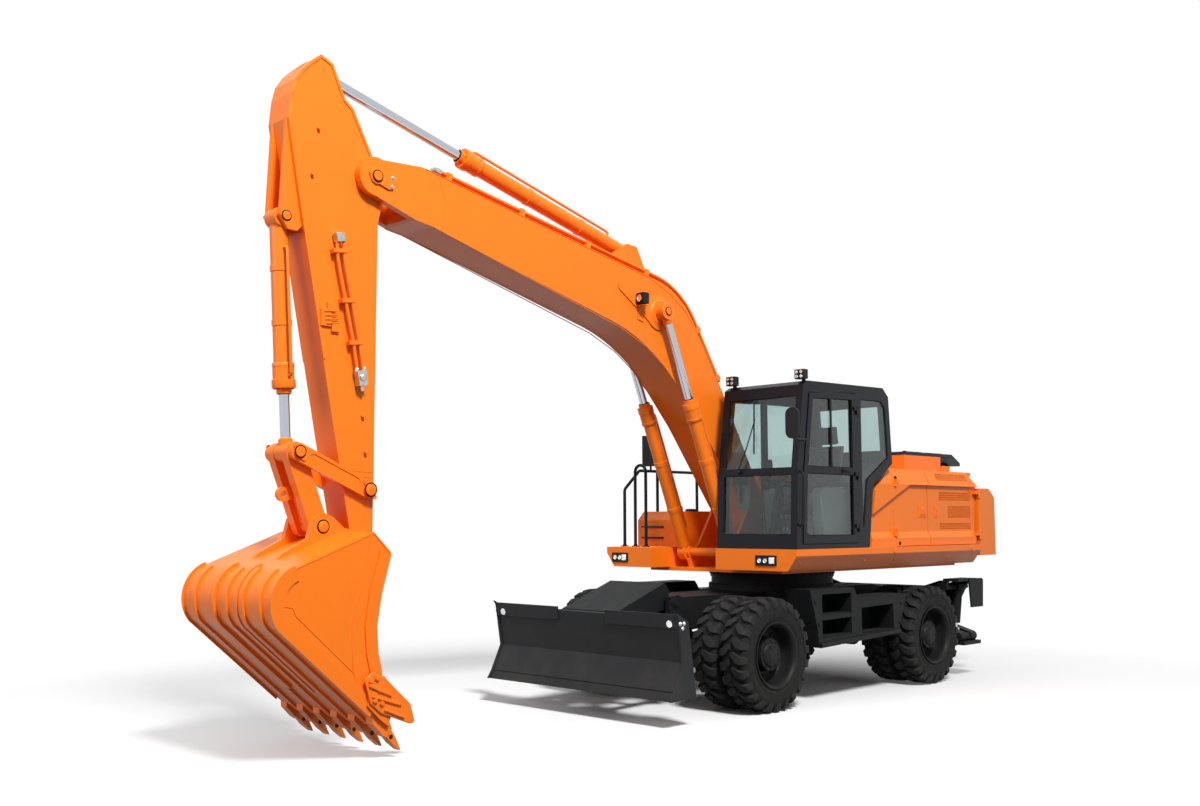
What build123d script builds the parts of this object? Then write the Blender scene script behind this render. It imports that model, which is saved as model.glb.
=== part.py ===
# Wheeled excavator: four twin wheels, front blade, rear stabilisers, slewing upper body,
# one-piece boom, arm and bucket. Millimetres, +X forward, +Y to the left (cab side), +Z up.
# The origin is on the ground, under the swing axis.
from build123d import *
from math import atan2, cos, degrees, hypot, pi, radians, sin
import os

os.makedirs("parts", exist_ok=True)

# ---------------------------------------------------------------- driving sizes
PIN_GAP = 0.8            # radial clearance of a pin or rod in its bore
SIDE_GAP = 3.0           # gap between an eye and the cheek beside it
SEAT_GAP = 0.3           # gap between pieces that are bolted to each other

# wheels
TYRE_RADIUS = 530.0
TYRE_WIDTH = 285.0
TYRE_FACETS = 28
RIM_RADIUS = 300.0
TWIN_PITCH = 344.0
TRACK_OUTER = 1249.0     # outer face of the outer tyres
FRONT_AXLE_X = 1578.0
REAR_AXLE_X = -1276.0
HUB_FACE_Y = TRACK_OUTER - 45.0
STUB_END_Y = TRACK_OUTER - 99.0
KINGPIN_Y = 650.0

# undercarriage
CHASSIS_HALF = 320.0
CHASSIS_TOP = 1040.0
CHASSIS_BOTTOM = 735.0
CHASSIS_FRONT = 2040.0
CHASSIS_REAR = -1860.0
RING_RADIUS = 660.0
RING_BASE_TOP = 1100.0
RING_RACE_TOP = 1178.0
RING_GAP = 0.6
RING_FLANGE_TOP = 1250.0
STEP_FACE_Y = 1205.0

# blade
BLADE_HALF = 1190.0
BLADE_LOW_PIVOT = (2120.0, 560.0)
BLADE_HIGH_PIVOT = (2120.0, 1010.0)
BLADE_LINK = (600.0, -115.0)     # from a chassis pivot to its blade pivot
BLADE_ARM_Y = 330.0
BLADE_CYL_Y = 190.0
BLADE_CYL_BASE = (2105.0, 930.0)
BLADE_CYL_EYE = (2700.0, 560.0)

# stabilisers
STAB_X0, STAB_X1 = -2330.0, -1980.0
STAB_PIVOT = (430.0, 640.0)      # y, z
STAB_PAD = (1120.0, 450.0)
STAB_CYL_TOP = (1040.0, 1010.0)
STAB_CYL_FOOT = (985.0, 500.0)

# upper body
DECK_BOTTOM, DECK_BAND, DECK_TOP = 1289.0, 1434.0, 1500.0
DECK_SIDE = 1249.0
DECK_FRONT_LEFT, DECK_FRONT_RIGHT, DECK_REAR = 1250.0, 1306.0, -2355.0
DECK_SLOPE = 110.0
CAB_INNER, CAB_OUTER = 245.0, 1232.0
BAY_RIGHT = -600.0               # inner wall of the right platform
COWL_SIDE = 1205.0
COWL_TOP = 2333.0
HOOD_TOP = 2575.0
TAIL_RADIUS = 3040.0

# boom, arm and bucket: the working plane stands right of the centre line
WORK_Y = -160.0
BOOM_HALF = 222.0
ARM_HALF = 145.0
BOOM_FOOT = (315.0, 1840.0)
BOOM_CYL_BASE = (885.0, 1450.0)
BOOM_CYL_EYE = (1885.0, 3860.0)
BOOM_CYL_HALF = 312.0
ARM_PIN = (5275.0, 4580.0)
ARM_CYL_BASE = (2155.0, 4460.0)
ARM_CYL_EYE = (5735.0, 5400.0)
BUCKET_CYL_BASE = (6030.0, 4140.0)
LINK_PIN = (5925.0, 2310.0)
GUIDE_PIN = (5285.0, 2030.0)
BUCKET_LINK_PIN = (5705.0, 1740.0)
BUCKET_PIN = (5315.0, 1600.0)
BUCKET_HALF = 660.0
EYE_HALF = 55.0          # half width of a rod's eye
BASE_HALF = 78.0         # half width of a barrel's base eye
BOOM_EYE_HALF = 50.0     # half width of the boom cylinders' eyes
CHEEK_IN = BOOM_HALF + SIDE_GAP  # boom foot cheeks, from the working plane
CHEEK_OUT = BOOM_CYL_HALF - BOOM_EYE_HALF - SIDE_GAP
EAR_IN, EAR_OUT = 150.0, 198.0   # bucket ears and guide links, from the working plane


# ---------------------------------------------------------------- helpers
def side_slab(outline, y0, y1, mode=Mode.ADD):
    """A plate with an outline of x, z points, standing from y0 to y1."""
    with BuildSketch(Plane.XZ.offset(-y1)) as face:
        with BuildLine():
            Polyline(*outline, close=True)
        make_face()
    extrude(face.sketch, amount=y1 - y0, mode=mode)


def cross_slab(outline, x0, x1, mode=Mode.ADD):
    """A plate with an outline of y, z points, standing from x0 to x1."""
    with BuildSketch(Plane.YZ.offset(x0)) as face:
        with BuildLine():
            Polyline(*outline, close=True)
        make_face()
    extrude(face.sketch, amount=x1 - x0, mode=mode)


def plan_slab(outline, z0, z1, mode=Mode.ADD):
    """A plate with an outline of x, y points, lying from z0 to z1."""
    with BuildSketch(Plane.XY.offset(z0)) as face:
        with BuildLine():
            Polyline(*outline, close=True)
        make_face()
    extrude(face.sketch, amount=z1 - z0, mode=mode)


def block(x0, x1, y0, y1, z0, z1, mode=Mode.ADD):
    """A square block between two corners."""
    side_slab([(x0, z0), (x1, z0), (x1, z1), (x0, z1)], y0, y1, mode)


def link_plate(ends, y0, y1, mode=Mode.ADD):
    """A plate with round ends, each an x, z, radius, standing from y0 to y1."""
    with BuildSketch(Plane.XZ.offset(-y1)) as face:
        for x, z, r in ends:
            with Locations((x, z)):
                Circle(r)
        make_hull()
    extrude(face.sketch, amount=y1 - y0, mode=mode)


def pin_bar(place, radius, y0, y1, mode=Mode.ADD):
    """A round bar across the machine at an x, z place."""
    with BuildSketch(Plane.XZ.offset(-y1)) as face:
        with Locations(place):
            Circle(radius)
    extrude(face.sketch, amount=y1 - y0, mode=mode)


def round_bar(start, end, radius, mode=Mode.ADD):
    """A round bar from one point to another."""
    run = Vector(*end) - Vector(*start)
    with BuildSketch(Plane(origin=start, z_dir=run)) as face:
        Circle(radius)
    extrude(face.sketch, amount=run.length, mode=mode)


def faceted_ring(profile, sides=TYRE_FACETS):
    """A ring of flat facets about the cross axis; its profile is a closed loop of y, corner radius."""
    turns = [2 * pi * (index + 0.5) / sides for index in range(sides)]
    rings = [[(radius * cos(turn), y, radius * sin(turn)) for turn in turns] for y, radius in profile]
    faces = []
    for near, far in zip(rings, rings[1:] + rings[:1]):
        for index in range(sides):
            after = (index + 1) % sides
            faces.append(Face(Wire.make_polygon([near[index], near[after], far[after], far[index]])))
    return Solid(Shell(faces)).fix()


def faceted_disc(radius, y0, y1):
    """A many-sided disc about the cross axis, from y0 to y1."""
    with BuildSketch(Plane.XZ.offset(-y1)) as face:
        RegularPolygon(radius, TYRE_FACETS, rotation=180 / TYRE_FACETS)
    extrude(face.sketch, amount=y1 - y0)


def along(start, end, distance):
    """The x, z point at a distance from start towards end."""
    length = hypot(end[0] - start[0], end[1] - start[1])
    share = distance / length
    return (start[0] + (end[0] - start[0]) * share, start[1] + (end[1] - start[1]) * share)


def beside(start, end, run, out):
    """The x, z point a run from start towards end, and out to the right of that line."""
    x, z = along(start, end, run)
    length = hypot(end[0] - start[0], end[1] - start[1])
    return (x + out * (end[1] - start[1]) / length, z - out * (end[0] - start[0]) / length)


def at_y(place, y):
    """An x, z place as a point at y."""
    return (place[0], y, place[1])


def save(part, label):
    """Name a finished piece and write it."""
    part.label = label
    export_step(part, f"parts/{label}.step")


def save_mirrored(part, label):
    """Write the right-hand copy of a left-hand piece."""
    save(mirror(part, about=Plane.XZ, mode=Mode.PRIVATE), label)


# ---------------------------------------------------------------- hydraulic cylinders
def cylinder_barrel(base, eye, y, length, radius, eye_radius, pin_radius, rod_radius, eye_half):
    """Barrel from its base eye to the open end of its gland."""
    head = along(base, eye, length)
    head_start = along(base, eye, length - 2.6 * radius)
    foot = along(base, eye, eye_radius * 0.8)
    pin_bar(base, eye_radius, y - eye_half, y + eye_half)
    round_bar(at_y(foot, y), at_y(head, y), radius)
    round_bar(at_y(head_start, y), at_y(head, y), radius * 1.15)
    bore = along(base, eye, eye_radius * 0.8 + 0.6 * radius)
    round_bar(at_y(bore, y), at_y(along(base, eye, length + 1), y), rod_radius + PIN_GAP, Mode.SUBTRACT)
    pin_bar(base, pin_radius + PIN_GAP, y - eye_half - 1, y + eye_half + 1, Mode.SUBTRACT)


def cylinder_rod(base, eye, y, start, eye_radius, rod_radius, eye_half):
    """Rod from inside its barrel to the eye, with the eye's own pin left solid."""
    length = hypot(eye[0] - base[0], eye[1] - base[1])
    round_bar(at_y(along(base, eye, start), y), at_y(along(base, eye, length), y), rod_radius)
    collar = along(base, eye, length - eye_radius * 1.35)
    round_bar(at_y(collar, y), at_y(eye, y), min(rod_radius * 1.35, eye_half - 1))
    pin_bar(eye, eye_radius, y - eye_half, y + eye_half)


def hinge_leaves(hinge, x_span, y_inner, heights, moving):
    """Upright hinge knuckles at each height: the fixed half below, the moving half above."""
    hinge_x, hinge_y = hinge
    for z in heights:
        z0, z1 = (z + 0.3, z + 40) if moving else (z - 40, z - 0.3)
        round_bar((hinge_x, hinge_y, z0), (hinge_x, hinge_y, z1), 9)
        y0, y1 = sorted((y_inner, hinge_y + (3 if hinge_y > 0 else -3)))
        block(min(x_span), max(x_span), y0, y1, z0, z1)


# ================================================================ undercarriage
# Chassis: a welded box girder with the ring pedestal on top and the links' brackets at its ends.
PEDESTAL_HALF_X = 560.0
with BuildPart() as chassis:
    side_slab([(CHASSIS_REAR, CHASSIS_BOTTOM + 60), (-1500, CHASSIS_BOTTOM), (1900, CHASSIS_BOTTOM),
               (CHASSIS_FRONT, 700), (CHASSIS_FRONT, CHASSIS_TOP - 30), (1900, CHASSIS_TOP),
               (-1500, CHASSIS_TOP), (CHASSIS_REAR, CHASSIS_TOP - 60)], -CHASSIS_HALF, CHASSIS_HALF)
    plan_slab([(-PEDESTAL_HALF_X, -480), (-260, -700), (260, -700), (PEDESTAL_HALF_X, -480),
               (PEDESTAL_HALF_X, 480), (260, 700), (-260, 700), (-PEDESTAL_HALF_X, 480)], 900, CHASSIS_TOP)
    with BuildSketch(Plane.XY.offset(CHASSIS_TOP)):
        Circle(RING_RADIUS + 30)
    extrude(amount=RING_BASE_TOP - CHASSIS_TOP)
    with BuildSketch(Plane.XY.offset(RING_BASE_TOP)):
        Circle(RING_RADIUS)
    extrude(amount=RING_RACE_TOP - RING_BASE_TOP)
    for side in (-1, 1):
        y_in, y_out = sorted((side * 395, side * 450))
        # blade link brackets
        side_slab([(1960, 740), (2045, 500), (2175, 500), (2185, 1060), (2060, 1075), (1960, 1040)],
                  y_in, y_out)
        y0, y1 = sorted((side * (CHASSIS_HALF - 40), side * 400))
        block(1960, 2040, y0, y1, 740, 1040)
        for x0, x1 in ((-520, -380), (380, 520)):
            cross_slab([(side * 300, CHASSIS_TOP - 40), (side * 300, 800), (side * 640, 900),
                        (side * 640, CHASSIS_TOP - 40)], x0, x1)
        # ears of the blade cylinder
        for inner, outer in ((BLADE_CYL_Y - 82, BLADE_CYL_Y - 60), (BLADE_CYL_Y + 60, BLADE_CYL_Y + 82)):
            y0, y1 = sorted((side * inner, side * outer))
            side_slab([(2030, 860), (2090, 870), (2150, 915), (2140, 960), (2090, 985), (2030, 985)], y0, y1)
        pin_bar(BLADE_CYL_BASE, 26, *sorted((side * (BLADE_CYL_Y - 82), side * (BLADE_CYL_Y + 82))))
    for place in (BLADE_LOW_PIVOT, BLADE_HIGH_PIVOT):
        for y0, y1 in ((-451, -394), (394, 451)):
            pin_bar(place, 30 + PIN_GAP, y0, y1, Mode.SUBTRACT)
save(chassis.part, "chassis")

# Side steps: hollow boxes with step openings, hung from the chassis on beams.
STEP_DEPTH = 300.0
with BuildPart() as side_steps:
    outline = [(985, 1105), (905, 850), (862, 700), (840, 538), (-597, 592), (-765, 1000),
               (160, 1002), (203, 1066), (240, 1105)]
    for side in (-1, 1):
        y0, y1 = sorted((side * (STEP_FACE_Y - STEP_DEPTH), side * STEP_FACE_Y))
        side_slab(outline, y0, y1)
        for pocket in ([(785, 1053), (275, 1050), (275, 850), (785, 850)],
                       [(785, 800), (275, 810), (275, 640), (785, 630)],
                       [(94, 888), (-500, 905), (-515, 640), (94, 630)]):
            y0, y1 = sorted((side * (STEP_FACE_Y - STEP_DEPTH + 12), side * (STEP_FACE_Y + 1)))
            side_slab(pocket, y0, y1, Mode.SUBTRACT)
        y0, y1 = sorted((side * (CHASSIS_HALF + SEAT_GAP), side * (STEP_FACE_Y - STEP_DEPTH)))
        for x0, x1 in ((-250, -170), (600, 680)):
            block(x0, x1, y0, y1, 790, 890)
        round_bar((840, side * (STEP_FACE_Y + 12), 560), (-600, side * (STEP_FACE_Y + 12), 614), 24)
save(side_steps.part, "side_steps")

# Axles: a cast beam with the differential housing in its middle.
with BuildPart() as rear_axle:
    round_bar((REAR_AXLE_X, -590, TYRE_RADIUS), (REAR_AXLE_X, 590, TYRE_RADIUS), 95)
    round_bar((REAR_AXLE_X, -200, TYRE_RADIUS), (REAR_AXLE_X, 200, TYRE_RADIUS), 175)
    for side in (-1, 1):
        round_bar((REAR_AXLE_X, side * 590, TYRE_RADIUS), (REAR_AXLE_X, side * 800, TYRE_RADIUS), 130)
        # stubs carry the rear hubs
        round_bar((REAR_AXLE_X, side * 780, TYRE_RADIUS), (REAR_AXLE_X, side * STUB_END_Y, TYRE_RADIUS), 60)
        y0, y1 = sorted((side * 230, side * CHASSIS_HALF))
        block(REAR_AXLE_X - 90, REAR_AXLE_X + 90, y0, y1, 560, CHASSIS_BOTTOM - SEAT_GAP)
    round_bar((REAR_AXLE_X, 0, TYRE_RADIUS), (REAR_AXLE_X + 330, 0, TYRE_RADIUS + 30), 80)
save(rear_axle.part, "rear_axle")

with BuildPart() as front_axle:
    round_bar((FRONT_AXLE_X, -560, TYRE_RADIUS), (FRONT_AXLE_X, 560, TYRE_RADIUS), 90)
    round_bar((FRONT_AXLE_X, -190, TYRE_RADIUS), (FRONT_AXLE_X, 190, TYRE_RADIUS), 160)
    block(FRONT_AXLE_X - 100, FRONT_AXLE_X + 100, -120, 120, 560, CHASSIS_BOTTOM - SEAT_GAP)
    round_bar((FRONT_AXLE_X, 0, TYRE_RADIUS), (FRONT_AXLE_X - 300, 0, TYRE_RADIUS + 30), 75)
    for side in (-1, 1):
        # yoke arms above and below the knuckle
        y0, y1 = sorted((side * 540, side * (KINGPIN_Y + 45)))
        for z0, z1 in ((TYRE_RADIUS - 165, TYRE_RADIUS - 125), (TYRE_RADIUS + 125, TYRE_RADIUS + 165)):
            block(FRONT_AXLE_X - 55, FRONT_AXLE_X + 55, y0, y1, z0, z1)
        y0, y1 = sorted((side * 530, side * 562))
        block(FRONT_AXLE_X - 70, FRONT_AXLE_X + 70, y0, y1, TYRE_RADIUS - 165, TYRE_RADIUS + 165)
        round_bar((FRONT_AXLE_X, side * KINGPIN_Y, TYRE_RADIUS - 166),
                  (FRONT_AXLE_X, side * KINGPIN_Y, TYRE_RADIUS + 166), 26 + PIN_GAP, Mode.SUBTRACT)
save(front_axle.part, "front_axle")

# Driveline: gearbox under the chassis and a shaft to each axle.
with BuildPart() as driveline:
    block(40, 420, -170, 170, 480, CHASSIS_BOTTOM - SEAT_GAP)
    round_bar((421, 0, 570), (FRONT_AXLE_X - 306, 0, TYRE_RADIUS + 30), 38)
    round_bar((39, 0, 570), (REAR_AXLE_X + 336, 0, TYRE_RADIUS + 30), 38)
save(driveline.part, "driveline")

# Knuckles: each turns on its kingpin inside the yoke and carries the twin wheels.
with BuildPart() as knuckle:
    round_bar((FRONT_AXLE_X, KINGPIN_Y, TYRE_RADIUS - 165), (FRONT_AXLE_X, KINGPIN_Y, TYRE_RADIUS + 165), 26)
    round_bar((FRONT_AXLE_X, KINGPIN_Y, TYRE_RADIUS - 121), (FRONT_AXLE_X, KINGPIN_Y, TYRE_RADIUS + 121), 62)
    round_bar((FRONT_AXLE_X, KINGPIN_Y, TYRE_RADIUS), (FRONT_AXLE_X, 800, TYRE_RADIUS), 110)
    round_bar((FRONT_AXLE_X, 799, TYRE_RADIUS), (FRONT_AXLE_X, STUB_END_Y, TYRE_RADIUS), 60)
    # steering arm, reaching back to the tie rod
    plan_slab([(FRONT_AXLE_X - 40, KINGPIN_Y - 40), (FRONT_AXLE_X - 250, KINGPIN_Y - 110),
               (FRONT_AXLE_X - 250, KINGPIN_Y - 60), (FRONT_AXLE_X - 40, KINGPIN_Y + 50)],
              TYRE_RADIUS - 100, TYRE_RADIUS - 60)
save(knuckle.part, "knuckle_left")
save_mirrored(knuckle.part, "knuckle_right")
# Wheels: many-sided tyres, two to a wheel, on rims with a shared hub. One pair is made about
# the origin and placed four times.
# (share of the width from the outer face, radius at the middle of a flat)
TYRE_PROFILE = ((0.0, RIM_RADIUS), (0.0, TYRE_RADIUS - 100), (0.10, TYRE_RADIUS - 30), (0.22, TYRE_RADIUS),
                (0.78, TYRE_RADIUS), (0.90, TYRE_RADIUS - 30), (1.0, TYRE_RADIUS - 100), (1.0, RIM_RADIUS))
WHEELS = (("front_left", FRONT_AXLE_X, 1), ("front_right", FRONT_AXLE_X, -1),
          ("rear_left", REAR_AXLE_X, 1), ("rear_right", REAR_AXLE_X, -1))
FLAT = cos(pi / TYRE_FACETS)     # share of a corner radius at the middle of a flat
one_tyre = faceted_ring([(TRACK_OUTER - TYRE_WIDTH * share, radius / FLAT) for share, radius in TYRE_PROFILE])
RIM_OUT = RIM_RADIUS / FLAT - 1
RIM_PROFILE = ((8, RIM_OUT), (TYRE_WIDTH - 12, RIM_OUT), (TYRE_WIDTH - 12, RIM_OUT - 26), (8, RIM_OUT - 26))
one_rim = faceted_ring([(TRACK_OUTER - inset, radius) for inset, radius in RIM_PROFILE])
INNER_FACE = TRACK_OUTER - TWIN_PITCH    # outer face of the inner tyres
with BuildPart() as tyre_pair:
    with Locations((0, 0, 0), (0, -TWIN_PITCH, 0)):
        add(one_tyre)
with BuildPart() as rim_pair:
    with Locations((0, 0, 0), (0, -TWIN_PITCH, 0)):
        add(one_rim)
    faceted_disc(RIM_RADIUS - 20, TRACK_OUTER - 199, TRACK_OUTER - 169)
    faceted_disc(RIM_RADIUS - 20, INNER_FACE - 37, INNER_FACE - 17)
    faceted_disc(150, INNER_FACE - 45, HUB_FACE_Y)
    pin_bar((0, 0), 60 + PIN_GAP, INNER_FACE - 105, STUB_END_Y + 2, Mode.SUBTRACT)
for place, axle_x, side in WHEELS:
    for pair, label in ((tyre_pair.part, "tyres"), (rim_pair.part, "rims")):
        shown = pair if side > 0 else mirror(pair, about=Plane.XZ, mode=Mode.PRIVATE)
        save(Pos(axle_x, 0, TYRE_RADIUS) * shown, f"{label}_{place}")

# Tie rod between the two steering arms.
with BuildPart() as tie_rod:
    z_rod = TYRE_RADIUS - 100 - PIN_GAP - 26
    round_bar((FRONT_AXLE_X - 225, -(KINGPIN_Y - 85), z_rod), (FRONT_AXLE_X - 225, KINGPIN_Y - 85, z_rod), 20)
    for side in (-1, 1):
        round_bar((FRONT_AXLE_X - 225, side * (KINGPIN_Y - 85), z_rod - 26),
                  (FRONT_AXLE_X - 225, side * (KINGPIN_Y - 85), z_rod + 26), 28)
save(tie_rod.part, "tie_rod")

# ---------------------------------------------------------------- blade
blade_low = (BLADE_LOW_PIVOT[0] + BLADE_LINK[0], BLADE_LOW_PIVOT[1] + BLADE_LINK[1])
blade_high = (BLADE_HIGH_PIVOT[0] + BLADE_LINK[0], BLADE_HIGH_PIVOT[1] + BLADE_LINK[1])
with BuildPart() as blade:
    # mouldboard: a curved plate, its cutting edge below
    with BuildSketch(Plane.XZ.offset(-BLADE_HALF)):
        with BuildLine():
            Line((3012, 240), (2905, 400))
            ThreePointArc((2905, 400), (2838, 620), (2909, 940))
            Line((2909, 940), (2880, 950))
            ThreePointArc((2880, 950), (2806, 620), (2875, 385))
            Line((2875, 385), (2975, 240))
            Line((2975, 240), (3012, 240))
        make_face()
    extrude(amount=2 * BLADE_HALF)
    for side in (-1, 1):
        # end plate, upper guard plate and link bracket
        y0, y1 = sorted((side * BLADE_HALF, side * (BLADE_HALF + 25)))
        side_slab([(3030, 240), (2900, 430), (2858, 620), (2925, 950), (2960, 1000), (2790, 905),
                   (2690, 250)], y0, y1)
        y0, y1 = sorted((side * 320, side * BLADE_HALF))
        side_slab([(2868, 850), (2893, 850), (2925, 975), (2900, 975)], y0, y1)
        y0, y1 = sorted((side * (BLADE_ARM_Y + 48), side * (BLADE_ARM_Y + 88)))
        side_slab([(2860, 930), (2870, 330), (2660, 380), (2650, 470), (2700, 600), (2660, 860),
                   (2690, 950)], y0, y1)
        for inner, outer in ((BLADE_CYL_Y - 65, BLADE_CYL_Y - 43), (BLADE_CYL_Y + 43, BLADE_CYL_Y + 65)):
            y0, y1 = sorted((side * inner, side * outer))
            side_slab([(2850, 700), (2850, 420), (2720, 505), (2650, 530), (2650, 590), (2720, 615)], y0, y1)
        pin_bar(blade_low, 28, *sorted((side * (BLADE_ARM_Y - 35), side * (BLADE_ARM_Y + 60))))
        pin_bar(blade_high, 28, *sorted((side * (BLADE_ARM_Y - 35), side * (BLADE_ARM_Y + 60))))
save(blade.part, "blade")

with BuildPart() as blade_arms:
    for side in (-1, 1):
        y0, y1 = sorted((side * (BLADE_ARM_Y - 35), side * (BLADE_ARM_Y + 35)))
        link_plate([(*BLADE_LOW_PIVOT, 65), (*blade_low, 55)], y0, y1)
        pin_bar(blade_low, 28 + PIN_GAP, y0 - 1, y1 + 1, Mode.SUBTRACT)
        y0, y1 = sorted((side * (BLADE_ARM_Y + 34), side * 450))
        pin_bar(BLADE_LOW_PIVOT, 30, y0, y1)
    block(2300, 2380, -(BLADE_ARM_Y - 34), BLADE_ARM_Y - 34, 470, 545)
save(blade_arms.part, "blade_arms")

with BuildPart() as blade_cover:
    for side in (-1, 1):
        y0, y1 = sorted((side * (BLADE_ARM_Y - 35), side * (BLADE_ARM_Y + 35)))
        link_plate([(*BLADE_HIGH_PIVOT, 65), (*blade_high, 50)], y0, y1)
        pin_bar(blade_high, 28 + PIN_GAP, y0 - 1, y1 + 1, Mode.SUBTRACT)
        y0, y1 = sorted((side * (BLADE_ARM_Y + 34), side * 450))
        pin_bar(BLADE_HIGH_PIVOT, 30, y0, y1)
    side_slab([(2075, 1095), (2150, 1190), (2805, 950), (2805, 925), (2158, 1160), (2100, 1085)],
              -365, 365)
    for side in (-1, 1):
        y0, y1 = sorted((side * 340, side * 365))
        side_slab([(2085, 1040), (2150, 1185), (2760, 955), (2640, 930), (2200, 1020)], y0, y1)
save(blade_cover.part, "blade_cover")

# Blade cylinders stand between the links, from the chassis to the blade.
with BuildPart() as blade_barrels:
    for side in (-1, 1):
        cylinder_barrel(BLADE_CYL_BASE, BLADE_CYL_EYE, side * BLADE_CYL_Y, 480, 55, 55, 26, 30, 40)
save(blade_barrels.part, "blade_cylinder_barrels")
with BuildPart() as blade_rods:
    for side in (-1, 1):
        cylinder_rod(BLADE_CYL_BASE, BLADE_CYL_EYE, side * BLADE_CYL_Y, 150, 50, 30, 40)
save(blade_rods.part, "blade_cylinder_rods")

# ---------------------------------------------------------------- stabilisers
with BuildPart() as stabiliser_frame:
    # cross box behind the rear wheels, its cheeks and the guards over the cylinders
    cross_slab([(-980, 1090), (-700, 1000), (700, 1000), (980, 1090), (1090, 1090), (880, 700),
                (480, 560), (-480, 560), (-880, 700), (-1090, 1090)], -1905, CHASSIS_REAR - SEAT_GAP)
    cross_slab([(-980, 1090), (-700, 1000), (700, 1000), (980, 1090), (1090, 1090), (880, 700),
                (480, 560), (-480, 560), (-880, 700), (-1090, 1090)], STAB_X0 - 40, STAB_X0 - 6)
    block(-1906, STAB_X0 - 6, -320, 320, 600, 1000)
    for side in (-1, 1):
        side_slab([(-2145, 1107), (-2445, 1107), (-2469, 1085), (-2450, 779), (-2190, 779)],
                  *sorted((side * 1180, side * 1200)))
        block(-1905, STAB_X0 - 6, *sorted((side * 1000, side * 1190)), 1080, 1110)
        pin_bar_x = (side * STAB_CYL_TOP[0], STAB_CYL_TOP[1])
        round_bar((STAB_X0 - 30, *pin_bar_x), (-1870, *pin_bar_x), 26)
        round_bar((STAB_X0 - 30, side * STAB_PIVOT[0], STAB_PIVOT[1]),
                  (-1870, side * STAB_PIVOT[0], STAB_PIVOT[1]), 32)
save(stabiliser_frame.part, "stabiliser_frame")

STAB_MID_X = (STAB_X0 + STAB_X1) / 2
with BuildPart() as stabiliser_leg:
    with BuildSketch(Plane.YZ.offset(STAB_X0)):
        with Locations(STAB_PIVOT):
            Circle(75)
        with Locations(STAB_PAD):
            Circle(55)
        with Locations((STAB_CYL_FOOT[0], STAB_CYL_FOOT[1] - 30)):
            Circle(70)
        make_hull()
    extrude(amount=STAB_X1 - STAB_X0)
    block(STAB_MID_X - 62, STAB_MID_X + 62, 890, 1200, 445, 620, Mode.SUBTRACT)
    round_bar((STAB_X0 - 1, *STAB_PIVOT), (STAB_X1 + 1, *STAB_PIVOT), 32 + PIN_GAP, Mode.SUBTRACT)
    block(STAB_MID_X - 190, STAB_MID_X + 190, 1010, 1215, 362, 402)
    round_bar((STAB_MID_X - 190, *STAB_PAD), (STAB_MID_X + 190, *STAB_PAD), 40)
save(stabiliser_leg.part, "stabiliser_leg_left")
save_mirrored(stabiliser_leg.part, "stabiliser_leg_right")
stab_length = hypot(STAB_CYL_FOOT[0] - STAB_CYL_TOP[0], STAB_CYL_FOOT[1] - STAB_CYL_TOP[1])


def stab_point(distance, x):
    """A point on the stabiliser cylinder's line, at a distance below its top pin."""
    y, z = along(STAB_CYL_TOP, STAB_CYL_FOOT, distance)
    return (x, y, z)


with BuildPart() as stab_barrel:
    round_bar((STAB_MID_X - 55, *STAB_CYL_TOP), (STAB_MID_X + 55, *STAB_CYL_TOP), 55)
    round_bar(stab_point(40, STAB_MID_X), stab_point(410, STAB_MID_X), 60)
    round_bar(stab_point(90, STAB_MID_X), stab_point(411, STAB_MID_X), 34 + PIN_GAP, Mode.SUBTRACT)
    round_bar((STAB_MID_X - 56, *STAB_CYL_TOP), (STAB_MID_X + 56, *STAB_CYL_TOP), 26 + PIN_GAP, Mode.SUBTRACT)
save(stab_barrel.part, "stabiliser_barrel_left")
save_mirrored(stab_barrel.part, "stabiliser_barrel_right")
with BuildPart() as stab_rod:
    round_bar(stab_point(100, STAB_MID_X), stab_point(stab_length, STAB_MID_X), 34)
    round_bar((STAB_MID_X - 50, *STAB_CYL_FOOT), (STAB_MID_X + 50, *STAB_CYL_FOOT), 50)
save(stab_rod.part, "stabiliser_rod_left")
save_mirrored(stab_rod.part, "stabiliser_rod_right")

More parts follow.
